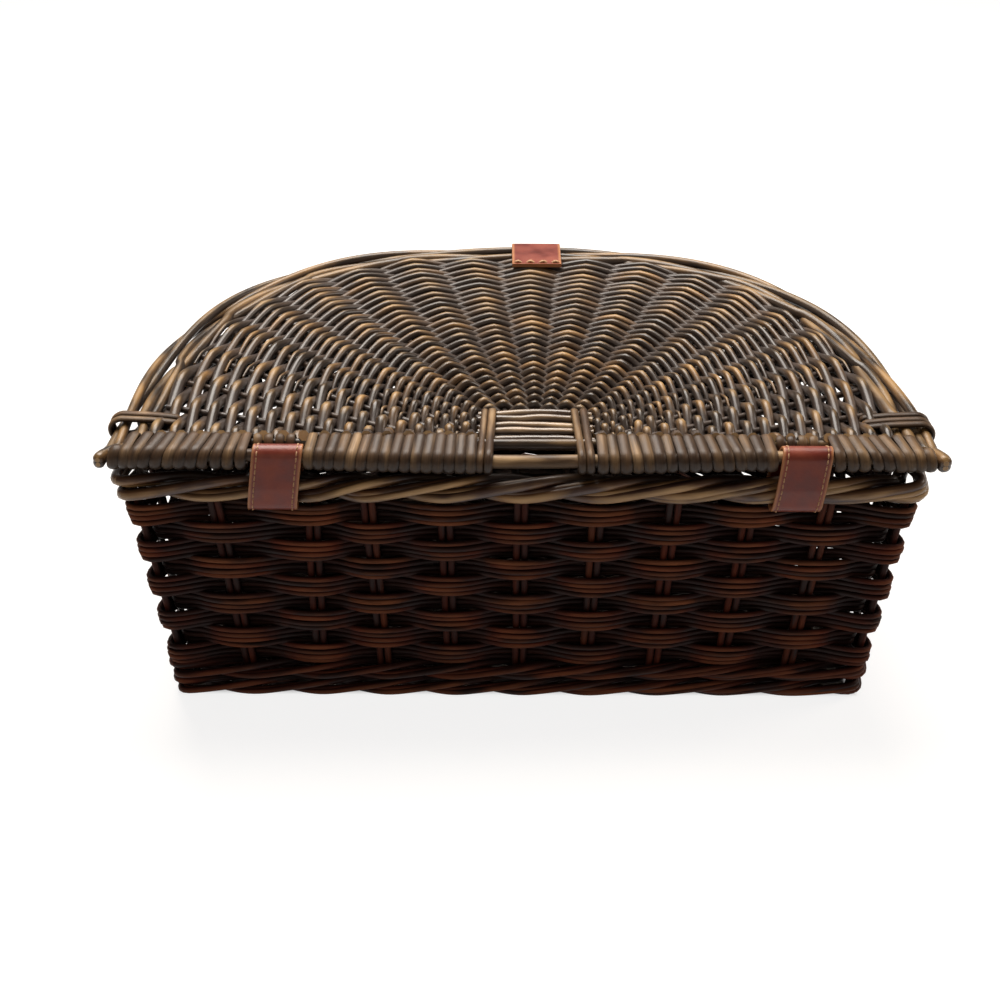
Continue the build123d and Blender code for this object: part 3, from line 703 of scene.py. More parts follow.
for key, (low, high) in stretchEnds.items():
    low += wrap["loopMargin"] if key in ("left", "farRight") else wrap["lowMargin"]
    high -= wrap["highMargin"]
    places = np.linspace(low, high, int(round((high - low) / wrap["pitch"])) + 1)
    for number, x in enumerate(places):
        thick = wrap["halfWidth"] * randomDraw.uniform(0.92, 1.03)
        lean = np.interp(abs(x), [0.03, 0.2], wrap["slant"]) * randomDraw.uniform(0.85, 1.15)
        fromEnd = min(number, len(places) - 1 - number)
        lean *= min(1, 0.3 + 0.25 * fromEnd)  # nearly square at a stretch's ends
        slant = lean if x < 0 else -lean  # the turns lean towards the middle on their way back
        lowered = (bar["y"], bar["z"] - wrap["drop"] - float(sagAt(x)) * 0.7, bar["radius"])
        circles = (lowered, backCircle) if abs(x) < wrap["backEnd"] else (lowered,)
        turnsOf[key].append(wrapRound(x, circles, thick, slant, wrap["flat"]))
for hinge, key in zip(hinges, ("left", "right")):  # behind a loop only the back rod is wrapped
    for x in np.arange(hinge - 10 * mm, hinge + 11 * mm, wrap["pitch"]):
        turnsOf[key].append(wrapRound(x, (backCircle,), wrap["halfWidth"] * 0.8, 0.0, wrap["flat"]))
for key, node in stretches.items():
    name = "barWrap" + key[0].upper() + key[1:]
    layRods(name, turnsOf[key], "lid", wornWillow, [node], 10)

lashing = dict(
    flat=0.7,
    turns=((-29.6, 2.5, 2.1), (-25.2, 2.2, 2.4), (23.4, -2.5, 2.3), (28.2, -2, 2.4)),
)  # place, slant and radius of each turn, in millimetres
blockCircle = (blockBox[1].y - block["rodRadius"], lid["z"] + 0.6 * mm, block["rodRadius"])
loweredBar = (bar["y"], bar["z"] - float(sagAt(0)), bar["radius"])
lashings = []
for x, slant, thick in lashing["turns"]:
    x = lid["focusX"] + x * mm
    lashings.append(wrapRound(
        x, (loweredBar, blockCircle), thick * mm, slant * mm, lashing["flat"], 60))
layRods("blockLashings", lashings, "lid", wornWillow, ["lid_block_lashings"], 12)

binding = dict(radius=2.1 * mm, flat=0.6, slant=5 * mm, innerReach=12 * mm, margin=2.2 * mm)
for name, side, count in (("left", -1, 2), ("right", 1, 3)):
    low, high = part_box("lid_corner_binding_" + name)
    bindings = []
    for y in np.linspace(low.y + binding["margin"], high.y - binding["margin"], count):
        circles = []
        for radius, inset in zip(lid["bowRadii"], lid["bowInsets"]):
            x = halfWidthAt(y - bar["y"], lid["halfWidth"] - inset, lid["depth"] - inset)
            circles.append((side * x, lid["z"], radius))
        circles.append((circles[-1][0] - side * binding["innerReach"], lid["z"], 0.8 * mm))
        thick = binding["radius"] * randomDraw.uniform(0.9, 1.05)
        loop = hull(circles, thick * 0.75, 60)
        drift = side * binding["slant"] * (loop[:, 0] - loop[:, 0].mean()) / np.ptp(loop[:, 0])
        points = np.column_stack([loop[:, 0], y - drift, loop[:, 1]])
        # painted shade on the inner side of each binding turn, which faces away from the loop's
        # outside
        bindings.append(rod(
            points, thick * 1.25, closed=True, across=(0, 1, 0), face=unit(points - points.mean(0)),
            share=0.9, flat=binding["flat"]))
    layRods("cornerBinding" + name.capitalize(), bindings, "lid", wornWillow,
            ["lid_corner_binding_" + name], 12)
print("lid made")


# Wall: where the stakes stand, low and high

stakeCount = wall["frontBays"] + wall["curveBays"]
hingeRoom = 18.5 * mm  # a stake stands at least this far from the middle of a leather loop


def stakeLine(halfWidth, front, depth, aside):
    places = []
    for bay in range(wall["frontBays"]):
        x = -halfWidth + 2 * halfWidth * bay / wall["frontBays"]
        for hinge in hinges:
            if aside and bay > 0 and abs(x - hinge) < hingeRoom:
                x = hinge + math.copysign(hingeRoom, x - hinge)
        places.append((x, bar["y"] + front))
    line = halfMoon(np.linspace(0, math.pi, 2000), halfWidth, depth) + (0, bar["y"] + front)
    length = runAlong(line)
    even = np.linspace(0, length[-1], wall["curveBays"] + 1)[:-1]
    return np.concatenate([places, readAt(even, length, line)])


stakeFeet = stakeLine(wall["baseHalf"], wall["baseFront"], wall["baseDepth"], False)
stakeTops = stakeLine(wall["topHalf"], wall["topFront"], wall["topDepth"], True)


def wallPoint(place, z):
    # plan places round the wall at a height, with the direction away from the basket;
    # place counts stakes and may lie between two
    z = np.asarray(z, float)
    part = (z / wall["height"])[..., None]
    place = np.asarray(place, float) % stakeCount
    here = np.floor(place).astype(int)
    between = (place - here)[..., None]

    def stake(index):
        index = index % stakeCount
        return stakeFeet[index] + part * (stakeTops[index] - stakeFeet[index])

    def away(index):
        run = stake(index + 1) - stake(index - 1)
        return unit(np.stack([run[..., 1], -run[..., 0]], -1))

    spot = stake(here) * (1 - between) + stake(here + 1) * between
    outward = unit(away(here) * (1 - between) + away(here + 1) * between)
    return spot, outward


def soften(values, kernel):
    # rounds off what goes right round the basket
    reach = len(kernel) // 2
    around = np.concatenate([values[-reach:], values, values[:reach]])
    return np.convolve(around, kernel / kernel.sum(), "valid")


def wallRod(place, z, swing, radius, share, softness=3):
    # a rod right round the basket; it can't turn as sharply as the plan's front corners
    spot, outward = wallPoint(place, z)
    points = np.column_stack([spot + outward * swing[:, None], z])
    kernel = np.hanning(2 * softness + 3)[1:-1]
    points = np.stack([soften(column, kernel) for column in points.T], -1)
    face = np.column_stack([outward, np.zeros(len(outward))])
    return rod(points, radius, closed=True, face=face, share=share)


# Wall: pairs of stakes, single at the two corners

stakes = []
for index in range(stakeCount):
    z = np.linspace(3 * mm, wall["height"], 24)
    spot, outward = wallPoint(np.full(24, index), z)
    along = np.column_stack([-outward[:, 1], outward[:, 0]])
    face = np.column_stack([outward, np.zeros(24)])
    for shift in ((0.0,) if index in (0, wall["frontBays"]) else (-1.04, 1.04)):
        drift = wander(24, 0.15 * mm, 5)
        points = np.column_stack([spot + along * (shift * wall["stakeRadius"] + drift)[:, None], z])
        # painted shade on the inner side of each stake, which faces into the basket
        stakes.append(rod(points, wall["stakeRadius"], across=(0, 1, 0.1), face=face, share=0.5))
layRods("wallStakes", stakes, "basket", wallWillow, ["wall_stakes"], 10)

# Wall: rows of four rods side by side, outside one pair of stakes and inside the next

weave = dict(
    samplesPerBay=10,
    pitch=1.95,          # from one rod to the next, over the rod's radius
    closeness=0.84,      # of the rods where they cross between the stakes
    outerSpread=0.14,
    innerSpread=0.38,
    beatenDown=1.6 * mm,  # where they pass inside
    innerShare=0.86,     # of the swing
    cornerPush=1.7,
    drift=0.25 * mm,
    bulge=0.3 * mm,
    roundness=0.35 * mm,
)
place = np.arange(stakeCount * weave["samplesPerBay"]) / weave["samplesPerBay"]
fromCorner = np.minimum(np.abs((place + 2) % stakeCount - 2), np.abs(place - wall["frontBays"]))
cornerPush = np.where(fromCorner < 0.6, weave["cornerPush"], 1.0)
for row in range(wall["rows"]):
    node = "wall_row_%d" % (row + 1)
    wave = np.cos(math.pi * (place + row))
    wave = np.sign(wave) * np.abs(wave) ** 0.75
    spread = weave["closeness"] + np.where(
        wave > 0, weave["outerSpread"], weave["innerSpread"]) * np.abs(wave)
    rods = []
    for number in range(wall["rodsInRow"]):
        radius = wall["rodRadius"] * randomDraw.uniform(0.93, 1.04)
        step = number - (wall["rodsInRow"] - 1) / 2
        z = middleOf(node).z + step * weave["pitch"] * wall["rodRadius"] * spread
        z = z + wander(len(place), weave["drift"], 12) - weave["beatenDown"] * np.clip(-wave, 0, 1)
        swing = wall["swing"] * wave * np.where(wave > 0, cornerPush, weave["innerShare"])
        swing = swing + wander(len(place), weave["bulge"], 12) - weave["roundness"] * abs(step)
        # painted shade: the rods are dark where they pass inside the stakes and on their inner side
        rods.append(wallRod(place, z, swing, radius, np.clip(wave, 0, 1), 2))
    layRods("wallRow%d" % (row + 1), rods, "basket", wallWillow, [node])
print("wall woven")

# Wall: ropes of three strands at the foot and round the top, each strand two rods

ropeSamples = 12  # to a bay
ropeTwist = 7.5   # bays in which the two rods of a strand go once round each other
ropes = (
    dict(node="top_border", name="topBorder", strand=4.1 * mm, rods=(3.1 * mm, 2.4 * mm),
         finish=borderWillow),
    dict(node="foot_wale_upper", name="footWaleUpper", strand=2.9 * mm, rods=(2.0 * mm, 1.8 * mm),
         finish=wallWillow),
    dict(node="foot_wale_lower", name="footWaleLower", strand=2.9 * mm, rods=(2.0 * mm, 1.8 * mm),
         finish=wallWillow),
)


def ropeStrand(middle, strandRadius, strand, rodRadius, spin):
    place = np.arange(stakeCount * ropeSamples) / ropeSamples
    phase = (place + strand) % 3  # outside two stakes while it climbs, then inside the third
    keyPlaces = (0.0, 1.0, 1.5, 2.0, 2.5, 3.0)
    swing = strandRadius + 3.2 * mm
    out = soften(np.interp(phase, keyPlaces, np.array([1, 1, 0, -1, 0, 1]) * swing), np.hanning(9))
    rise = strandRadius * 1.05
    up = soften(np.interp(phase, keyPlaces, np.array([-1, 1, 1, 0, -1, -1]) * rise), np.hanning(9))
    twist = spin + 2 * math.pi * place / ropeTwist
    out = out + (strandRadius - rodRadius) * np.cos(twist)
    up = up + (strandRadius - rodRadius) * np.sin(twist)
    corner = np.minimum(np.abs((place + 5) % stakeCount - 5), np.abs(place - wall["frontBays"]))
    out = np.where(out > 0, out * (1 + 0.45 * np.clip(1 - corner, 0, 1)), out)
    # painted shade: a strand is dark where it passes inside the stakes and on its inner side
    return wallRod(place, middle + up, out, rodRadius, np.clip(out / swing, 0, 1) * 0.9)


for rope in ropes:
    rods = []
    for strand in range(3):
        for side, radius in enumerate(rope["rods"]):
            rods.append(ropeStrand(
                middleOf(rope["node"]).z, rope["strand"], strand, radius, math.pi * side + strand))
    layRods(rope["name"], rods, "basket", rope["finish"], [rope["node"]], 10)
print("ropes laid")

# Base: sticks across the foot ring, and rods woven through them

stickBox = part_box("base_sticks")
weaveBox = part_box("base_weave")
base = dict(
    z=(stickBox[0].z + stickBox[1].z) / 2,
    sticks=9,
    stickRadius=2.9 * mm,
    rodRadius=2.1 * mm,
    swing=4.6 * mm,
    inset=10.5 * mm,  # from the stakes' feet to the inside of the foot ring
)
base["front"] = bar["y"] + wall["baseFront"] + base["inset"]
base["halfWidth"] = wall["baseHalf"] - base["inset"]
base["depth"] = wall["baseDepth"] - 2 * base["inset"]
firstStick = stickBox[0].x + base["stickRadius"]
stickPitch = (stickBox[1].x - stickBox[0].x - 2 * base["stickRadius"]) / (base["sticks"] - 1)
sticks = []
for number in range(base["sticks"]):
    x = firstStick + number * stickPitch
    back = base["front"] + depthAt(abs(x) + base["stickRadius"], base["halfWidth"], base["depth"])
    y = np.linspace(stickBox[0].y, back - 2 * mm, 30)
    points = np.stack([x + wander(30, 0.2 * mm), y, np.full(30, base["z"])], -1)
    # painted shade on the underside of each stick
    sticks.append(rod(points, base["stickRadius"], share=0.3))
layRods("baseSticks", sticks, "basket", baseWillow, ["base_sticks"], 12)

baseRods = []
rodPitch = 2 * base["rodRadius"] * 1.02
for number in range(int((weaveBox[1].y - weaveBox[0].y) / rodPitch)):
    y = weaveBox[0].y + base["rodRadius"] + number * rodPitch
    far = y + base["rodRadius"] - base["front"]
    reach = halfWidthAt(far, base["halfWidth"], base["depth"]) - 3 * mm
    if reach < 1.5 * stickPitch:
        continue
    x = np.linspace(-reach, reach, 150)
    wave = np.cos(math.pi * ((x - firstStick) / stickPitch + number))
    points = np.stack([x, y + wander(150, 0.2 * mm), base["z"] + base["swing"] * wave], -1)
    thick = base["rodRadius"] * randomDraw.uniform(0.93, 1.03)
    # painted shade where a rod dips under a stick, and on its underside
    baseRods.append(rod(points, thick, share=np.clip(wave, 0, 1)))
layRods("baseWeave", baseRods, "basket", baseWillow, ["base_weave"])
print("base woven")


# Leather: bands with rounded cut edges, and stitches that sit in them

hide = dict(
    hingeWidth=27 * mm,
    hingeThick=2.2 * mm,
    hingeLean=4.5 * mm,    # neither loop hangs quite upright
    borderReach=7.6 * mm,  # what a loop goes round at the border
    borderRise=3.9 * mm,
    borderRadius=4.2 * mm,
    slack=0.4 * mm,
    edgeRound=0.7 * mm,
    stitchInset=2.8 * mm,
    stitchPitch=3.5 * mm,
    stitchLength=2.5 * mm,
    threadRadius=0.42 * mm,
)
sideways = np.array([1.0, 0, 0])


def roundedOutline(x0, x1, z0, z1, low, high, steps):
    # a rectangle with rounded corners, the upper two by high and the lower two by low
    points = []
    for cx, cz, radius, begin in ((x1 - high, z1 - high, high, 0), (x0 + high, z1 - high, high, 1),
                                  (x0 + low, z0 + low, low, 2), (x1 - low, z0 + low, low, 3)):
        for step in range(steps + 1):
            turn = math.pi / 2 * (begin + step / steps)
            points.append((cx + radius * math.cos(turn), cz + radius * math.sin(turn)))
    return points


def cutSection(width, thick):
    # a strap's cut section as (across, out, edge) points, in order round it
    outline = roundedOutline(-width / 2, width / 2, -thick / 2, thick / 2,
                             hide["edgeRound"], hide["edgeRound"], 4)
    section = []
    for (a, b), (c, _) in zip(outline, outline[1:] + outline[:1]):
        section.append((a, b, 1.0))
        if abs(a - c) > width / 2:
            section += [(a + (c - a) * part, b, 0.0) for part in (0.05, 0.35, 0.65, 0.95)]
    return np.array(section)


def leatherMesh(name, path, out, width, thick, closed):
    # a strap along a path, with out the side that shows
    section = cutSection(width, thick)
    count, sides = len(path), len(section)
    ring = section[:, :1] * sideways + section[:, 1:2] * out[:, None]
    index = np.arange(count * sides).reshape(count, sides)
    following = np.roll(index, -1, 1)
    quads = np.stack([index, following, np.roll(following, -1, 0), np.roll(index, -1, 0)], -1)
    faces = quads[:count if closed else count - 1].reshape(-1, 4).tolist()
    edge = np.tile(section[:, 2], count)
    if not closed:
        faces += [index[0][::-1].tolist(), index[-1].tolist()]
        edge[:sides] = edge[-sides:] = 1
    mesh = bpy.data.meshes.new(name)
    mesh.from_pydata((path[:, None] + ring).reshape(-1, 3).tolist(), [], faces)
    mesh.attributes.new("edge", "FLOAT", "POINT").data.foreach_set("value", edge.astype(np.float32))
    return mesh


def selectOnly(piece):
    bpy.ops.object.select_all(action="DESELECT")
    piece.select_set(True)
    bpy.context.view_layer.objects.active = piece


def outwardFaces(piece, doubles=0.0):
    # turns the faces so that they point out of the solid, and smooths all but sharp edges
    selectOnly(piece)
    bpy.ops.object.mode_set(mode="EDIT")
    bpy.ops.mesh.select_all(action="SELECT")
    if doubles:
        bpy.ops.mesh.remove_doubles(threshold=doubles)
    bpy.ops.mesh.normals_make_consistent(inside=False)
    bpy.ops.object.mode_set(mode="OBJECT")
    piece.data.shade_smooth()
    piece.data.set_sharp_from_angle(angle=math.radians(40))


def putLeather(mesh, body, node):
    piece = addObject(mesh.name, mesh)
    outwardFaces(piece)
    finishPiece(piece, body, hideLeather, [node])


def stitchRods(line, out):
    # stitches along a line, each a short arched rod whose ends go into the leather
    length = runAlong(line)
    part = np.linspace(0, 1, 5)
    lift = (np.sin(math.pi * part) * 1.3 - 0.75) * hide["threadRadius"]
    rods = []
    for number in range(int(length[-1] / hide["stitchPitch"])):
        along = (number + 0.5) * hide["stitchPitch"] + part * hide["stitchLength"]
        normal = readAt(along, length, out)
        points = readAt(along, length, line) + unit(normal) * lift[:, None]
        rods.append(rod(points, hide["threadRadius"], across=normal[2]))
    return rods


for name, place in zip(("left", "right"), hinges):
    border = middleOf("top_border").z
    circles = [(bar["y"], bar["z"], bar["radius"])]
    for a in (-1, 1):
        for b in (-1, 1):
            circles.append((bar["y"] + wall["topFront"] + a * hide["borderReach"],
                            border + b * hide["borderRise"], hide["borderRadius"]))
    loop = hull(circles, hide["slack"] + hide["hingeThick"] / 2, 120)
    lean = hide["hingeLean"] * (loop[:, 1] - loop[:, 1].mean()) / np.ptp(loop[:, 1])
    path = np.column_stack([place + lean, loop])
    ahead = unit(np.roll(path, -1, 0) - np.roll(path, 1, 0))
    out = np.cross(ahead, sideways)
    out *= np.sign(np.einsum("nk,nk->n", out, path - path.mean(0)).mean())
    putLeather(leatherMesh(
        "hingeStrap" + name.capitalize(), path, out, hide["hingeWidth"], hide["hingeThick"], True),
        "basket", "hinge_strap_" + name)
    path = np.vstack([path, path[:1]])
    out = np.vstack([out, out[:1]])
    stitches = []
    for side in (-1, 1):
        aside = side * (hide["hingeWidth"] / 2 - hide["stitchInset"]) * sideways
        stitches += stitchRods(path + out * hide["hingeThick"] / 2 + aside, out)
    layRods("hingeStitches" + name.capitalize(), stitches, "basket", thread, [], 6)

# Leather: the tab that is sewn to the lid and turns down over the bow

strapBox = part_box("closing_strap")
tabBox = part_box("strap_tab")
strap = dict(
    x=(strapBox[0].x + strapBox[1].x) / 2,
    y=(strapBox[0].y + strapBox[1].y) / 2,
    width=strapBox[1].x - strapBox[0].x,
    thick=2.5 * mm,
    top=strapBox[1].z,
    bottom=strapBox[0].z,
    foldBack=math.radians(150),
    foldRoom=0.5 * mm,
)
tab = dict(bend=7.5 * mm, shoulder=6.5 * mm, stitches=4, stitchPitch=8.6 * mm, stitchHalf=2.2 * mm,
           stitchPlace=2.6 * mm, stitchRise=0.8 * mm, threadRadius=1.0 * mm)
tabTop = tabBox[1].z - strap["thick"] / 2
corners = np.array([
    [tabBox[0].y, tabTop - 0.6 * mm],
    [strap["y"] - tab["bend"], tabTop - 0.2 * mm],
    [strap["y"], tabBox[1].z - tab["shoulder"]],
    [strap["y"], tabBox[0].z],
])
length = runAlong(corners)
profile = readAt(np.linspace(0, length[-1], 90), length, corners)
for _ in range(30):
    profile[1:-1] = (profile[:-2] + 2 * profile[1:-1] + profile[2:]) / 4
path = np.column_stack([np.full(len(profile), strap["x"]), profile])
mesh = leatherMesh("strapTab", path, np.cross(sideways, unit(np.gradient(path, axis=0))),
                   strap["width"], strap["thick"], False)
# the lower edge is pared away on the outside, so that the strap can fold back
pare = np.array([0, math.cos(strap["foldBack"]), math.sin(strap["foldBack"])])
pareFrom = np.array([strap["x"], strap["y"], strap["top"] - strap["thick"] / 2])
pareFrom += pare * (strap["thick"] / 2 + strap["foldRoom"])
for vertex in mesh.vertices:
    spot = np.array(vertex.co)
    vertex.co = spot - pare * min(0.0, float((spot - pareFrom) @ pare))
putLeather(mesh, "lid", "strap_tab")
tabStitches = []
part = np.linspace(-1, 1, 9)
for number in range(tab["stitches"]):
    middle = strap["x"] + (number - (tab["stitches"] - 1) / 2) * tab["stitchPitch"]
    tabStitches.append(rod(np.stack([
        middle + part * tab["stitchHalf"],
        np.full(9, path[0, 1] + tab["stitchPlace"]),
        path[5, 2] + strap["thick"] / 2 + (0.9 - 1.5 * part ** 2) * tab["stitchRise"]], -1),
        tab["threadRadius"]))
layRods("tabStitches", tabStitches, "lid", thread, [])

# Leather: the closing strap, cut as a tongue with a slot for the button

tongue = dict(slotWidth=9 * mm, slotHeight=22 * mm, slotRound=2.5 * mm, round=12 * mm,
              topRound=0.2 * mm, bevel=0.5 * mm, stitchFrom=7 * mm)
halfStrap = strap["width"] / 2 - tongue["bevel"]
halfSlot = tongue["slotWidth"] / 2 + tongue["bevel"]
slotReach = tongue["slotHeight"] / 2 + tongue["bevel"]
slotZ = middleOf("turn_button").z
outlines = [
    roundedOutline(-halfStrap, halfStrap, strap["bottom"] + tongue["bevel"],
                   strap["top"] - tongue["bevel"], tongue["round"], tongue["topRound"], 8),
    roundedOutline(-halfSlot, halfSlot, slotZ - slotReach, slotZ + slotReach,
                   tongue["slotRound"], tongue["slotRound"], 8),
]
curve = bpy.data.curves.new("closingStrap", "CURVE")
curve.dimensions = "2D"
curve.fill_mode = "BOTH"
curve.extrude = strap["thick"] / 2 - tongue["bevel"]
curve.bevel_depth = tongue["bevel"]
curve.bevel_resolution = 3
for outline in outlines:
    spline = curve.splines.new("POLY")
    spline.points.add(len(outline) - 1)
    for point, (x, z) in zip(spline.points, outline):
        point.co = (x, z, 0, 1)
    spline.use_cyclic_u = True
selectOnly(addObject("closingStrap", curve))
bpy.ops.object.convert(target="MESH")
strapPiece = bpy.context.view_layer.objects.active
strapPiece.data.transform(
    Matrix.Translation((strap["x"], strap["y"], 0)) @ Matrix.Rotation(math.pi / 2, 4, "X"))
outwardFaces(strapPiece, 0.01 * mm)
edge = [0.0 if abs(v.normal.y) > 0.9 else 1.0 for v in strapPiece.data.vertices]
strapPiece.data.attributes.new("edge", "FLOAT", "POINT").data.foreach_set("value", edge)
finishPiece(strapPiece, "strap", hideLeather, ["closing_strap"])
z = np.linspace(strap["top"] - tongue["stitchFrom"], strap["bottom"] + tongue["round"], 60)
strapStitches = []
for side in (-1, 1):
    x = strap["x"] + side * (strap["width"] / 2 - hide["stitchInset"])
    line = np.stack([np.full(60, x), np.full(60, strap["y"] + strap["thick"] / 2), z], -1)
    strapStitches += stitchRods(line, np.tile([0.0, 1.0, 0.0], (60, 1)))
layRods("strapStitches", strapStitches, "strap", thread, [], 6)
print("leather made")

# Brass: plate, screws and turn button

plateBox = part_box("latch_plate")
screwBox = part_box("latch_screws")
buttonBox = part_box("turn_button")
latch = dict(
    plateRound=3.5 * mm,
    plateBevel=0.4 * mm,
    screwRadius=2 * mm,
    slotHalf=0.25 * mm,
    slotDeep=0.4 * mm,
    wingLength=18 * mm,
    wingWidth=5 * mm,
    wingThick=3.2 * mm,
    wingBevel=0.5 * mm,
    postRadius=2.5 * mm,
)


def bevelActive(width, segments=2):
    piece = bpy.context.view_layer.objects.active
    modifier = piece.modifiers.new("bevel", "BEVEL")
    modifier.width = width
    modifier.segments = segments
    modifier.limit_method = "ANGLE"
    modifier.angle_limit = 0.9
    bpy.ops.object.modifier_apply(modifier=modifier.name)


def addBlock(low, high):
    # a cube stretched between two corners, ready to be shaped
    bpy.ops.object.select_all(action="DESELECT")
    bpy.ops.mesh.primitive_cube_add(size=1, location=[(a + b) / 2 for a, b in zip(low, high)])
    bpy.context.object.scale = [b - a for a, b in zip(low, high)]
    bpy.ops.object.transform_apply(location=True, rotation=True, scale=True)
    return bpy.context.object


def addPost(x, y0, y1, z, radius, corners):
    bpy.ops.object.select_all(action="DESELECT")
    bpy.ops.mesh.primitive_cylinder_add(
        radius=radius, depth=y1 - y0, vertices=corners, location=(x, (y0 + y1) / 2, z),
        rotation=(math.pi / 2, 0, 0))
    bpy.ops.object.transform_apply(location=True, rotation=True, scale=True)
    return bpy.context.object


def roundCorners(piece, radius):
    # rounds the four edges that run through the piece along Y
    bpy.ops.object.mode_set(mode="EDIT")
    bpy.ops.mesh.select_mode(type="EDGE")
    bpy.ops.mesh.select_all(action="DESELECT")
    bpy.ops.object.mode_set(mode="OBJECT")
    for line in piece.data.edges:
        a, b = [piece.data.vertices[i].co for i in line.vertices]
        line.select = abs(a.x - b.x) < 1e-6 and abs(a.z - b.z) < 1e-6
    bpy.ops.object.mode_set(mode="EDIT")
    bpy.ops.mesh.bevel(offset=radius, segments=6)
    bpy.ops.object.mode_set(mode="OBJECT")


def finishBrass(parts, name, body, node):
    # joins the parts to the first of them and gives the piece its name and finish
    selectOnly(parts[0])
    for part in parts[1:]:
        part.select_set(True)
    if len(parts) > 1:
        bpy.ops.object.join()
    piece = parts[0]
    piece.name = name
    piece.data.shade_smooth()
    piece.data.set_sharp_from_angle(angle=math.radians(30))
    finishPiece(piece, body, brass, [node])


plate = addBlock(plateBox[0], plateBox[1])
roundCorners(plate, latch["plateRound"])
bevelActive(latch["plateBevel"])
finishBrass([plate], "latchPlate", "basket", "latch_plate")

screws = []
inward = latch["screwRadius"]
for x in (screwBox[0].x + inward, screwBox[1].x - inward):
    for z in (screwBox[0].z + inward, screwBox[1].z - inward):
        head = addPost(x, screwBox[0].y, screwBox[1].y, z, latch["screwRadius"], 24)
        bevelActive(0.5 * mm, 3)
        slotCut = addBlock(
            (x - 2.4 * mm, screwBox[1].y - latch["slotDeep"], z - latch["slotHalf"]),
            (x + 2.4 * mm, screwBox[1].y + 1 * mm, z + latch["slotHalf"]))
        bpy.ops.object.select_all(action="DESELECT")
        bpy.context.view_layer.objects.active = head
        cutter = head.modifiers.new("slot", "BOOLEAN")
        cutter.object = slotCut
        cutter.operation = "DIFFERENCE"
        bpy.ops.object.modifier_apply(modifier=cutter.name)
        bpy.data.objects.remove(slotCut)
        screws.append(head)
finishBrass(screws, "latchScrews", "basket", "latch_screws")

centre = middleOf("turn_button")
wingBack = buttonBox[1].y - latch["wingThick"]
wing = addBlock(
    (centre.x - latch["wingWidth"] / 2, wingBack, centre.z - latch["wingLength"] / 2),
    (centre.x + latch["wingWidth"] / 2, buttonBox[1].y, centre.z + latch["wingLength"] / 2))
roundCorners(wing, latch["wingWidth"] * 0.46)
bevelActive(latch["wingBevel"], 3)
post = addPost(centre.x, buttonBox[0].y, wingBack + 0.5 * mm, centre.z, latch["postRadius"], 32)
bevelActive(0.3 * mm)
finishBrass([wing, post], "turnButton", "button", "turn_button")
print("brass made")

# The foot ring keeps its own shape and takes a finish of planed willow

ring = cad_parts["base_foot_ring"]
ring.data.materials.clear()
ring.data.materials.append(newMaterial("planedWillowHoop", planedWillow))

# Floor, world and lamps

studio = dict(
    floorSize=12.0,
    floorTone="9A9692",
    floorGlow=0.84,
    worldTone="F4ECE4",
    worldStrength=0.18,
)


def palePaper(tree):
    # a matt paper sweep that glows white where the camera sees it, but not under the basket, where
    # its foot keeps the light out:
    # there and in a band round the foot the glow is taken away, as a painted shadow
    rays = addNode(tree, "LightPath").outputs
    seen = addNode(tree, "Math", {
        0: rays["Is Camera Ray"], 1: rays["Is Glossy Ray"]}, operation="MAXIMUM")
    seen = addNode(tree, "Math", {0: seen, 1: rays["Is Transmission Ray"]}, operation="MAXIMUM")
    # painted shadow: the glow is nothing under the basket and fades back in over a band round its
    # foot, a little wider behind
    place = addNode(tree, "TexCoord").outputs["Object"]
    axes = addNode(tree, "SeparateXYZ", {"Vector": place}).outputs
    front = bar["y"] + wall["baseFront"]
    across, back = axes["X"], axes["Y"]
    for operation, value in (
            ("ABSOLUTE", 0.0), ("DIVIDE", wall["baseHalf"]), ("POWER", lid["sideRoundness"])):
        across = addNode(tree, "Math", {0: across, 1: value}, operation=operation)
    for operation, value in (
            ("SUBTRACT", front), ("DIVIDE", wall["baseDepth"] + 14 * mm),
            ("MAXIMUM", 0.0), ("POWER", lid["crownRoundness"])):
        back = addNode(tree, "Math", {0: back, 1: value}, operation=operation)
    outside = addNode(tree, "Math", {0: across, 1: back}, operation="ADD")
    outside = addNode(tree, "MapRange", {
        "Value": outside, "From Min": 1.0, "From Max": 1.1, "To Max": studio["floorGlow"]})
    before = addNode(tree, "MapRange", {
        "Value": axes["Y"], "From Min": front - 5 * mm, "From Max": front + 3 * mm,
        "To Min": studio["floorGlow"], "To Max": 0.0})
    lit = addNode(tree, "Math", {0: outside, 1: before}, operation="MAXIMUM")
    glow = addNode(tree, "Emission", {"Color": (1, 1, 1, 1), "Strength": lit})
    paper = addNode(tree, "BsdfDiffuse", {"Color": colour(studio["floorTone"])})
    both = addNode(tree, "AddShader", {0: paper, 1: glow})
    return addNode(tree, "MixShader", {"Fac": seen, 1: paper, 2: both})


bpy.ops.object.select_all(action="DESELECT")
bpy.ops.mesh.primitive_plane_add(size=studio["floorSize"], location=(0, 0, -0.2 * mm))
floor = bpy.context.object
floor.name = "studioFloor"
floor.data.materials.append(newMaterial("palePaperSweep", palePaper))

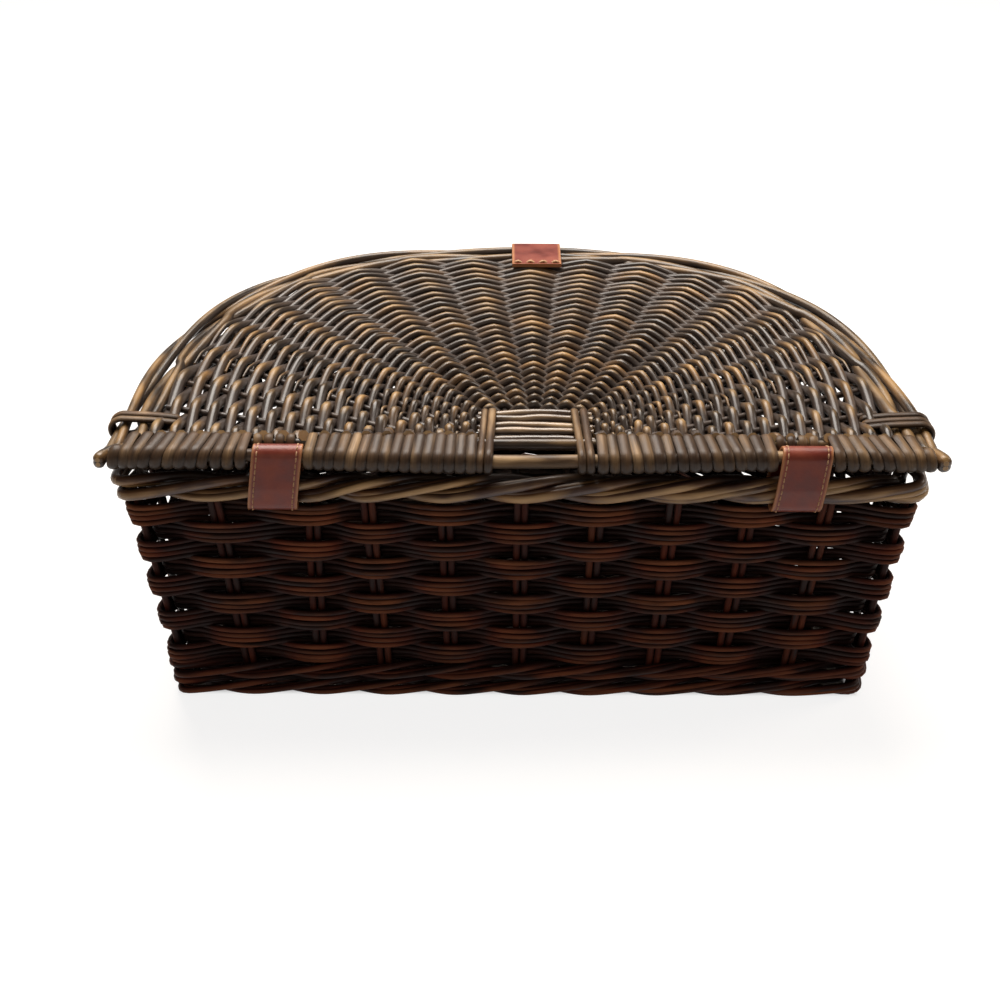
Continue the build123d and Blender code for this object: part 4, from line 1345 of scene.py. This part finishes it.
world = bpy.data.worlds.new("studioWorld")
scene.world = world
world.use_nodes = True
tree = world.node_tree
tree.nodes.clear()
rays = addNode(tree, "LightPath").outputs
seen = addNode(tree, "Math", {
    0: rays["Is Camera Ray"], 1: rays["Is Transmission Ray"]}, operation="MAXIMUM")
plain = addNode(tree, "Background", {
    "Color": colour(studio["worldTone"]), "Strength": studio["worldStrength"]})
white = addNode(tree, "Background", {"Color": (1, 1, 1, 1), "Strength": 1.0})
mixed = addNode(tree, "MixShader", {"Fac": seen, 1: plain, 2: white})
addNode(tree, "OutputWorld", {"Surface": mixed})


def addLamp(name, place, target, size, watts, tone):
    data = bpy.data.lights.new(name, "AREA")
    data.size = size
    data.energy = watts
    data.color = colour(tone)[:3]
    lamp = addObject(name, data)
    lamp.location = place
    away = np.array(target, float) - np.array(place, float)
    drop = math.acos(-away[2] / np.linalg.norm(away))
    lamp.rotation_euler = (drop, 0, math.atan2(away[1], away[0]) - math.pi / 2)


addLamp("overheadSoftbox", (-0.15, 0.62, 1.4), (0, 0, 0.1), 1.1, 38, "FFF8F0")
addLamp("frontFill", (-0.5, -1.8, 0.9), (0, 0, 0.1), 1.0, 2, "FFE6D0")
addLamp("sideStrip", (1.4, 0.3, 0.9), (0, 0, 0.12), 0.5, 6, "FFF4E8")

# Camera, where the photograph was taken from

view = dict(place=(-13 * mm, -894 * mm, 573.5 * mm), down=30.4, yaw=0.1, roll=0.3,
            focalPixels=1578, imagePixels=1000)
cameraData = bpy.data.cameras.new("photoCamera")
cameraData.sensor_fit = "HORIZONTAL"
cameraData.lens = view["focalPixels"] / view["imagePixels"] * cameraData.sensor_width
camera = addObject("photoCamera", cameraData)
camera.matrix_world = (
    Matrix.Translation(view["place"])
    @ Matrix.Rotation(math.radians(-view["yaw"]), 4, "Z")
    @ Matrix.Rotation(math.radians(90 - view["down"]), 4, "X")
    @ Matrix.Rotation(math.radians(view["roll"]), 4, "Z"))
scene.camera = camera
scene.view_settings.view_transform = "Standard"
print("studio lit")
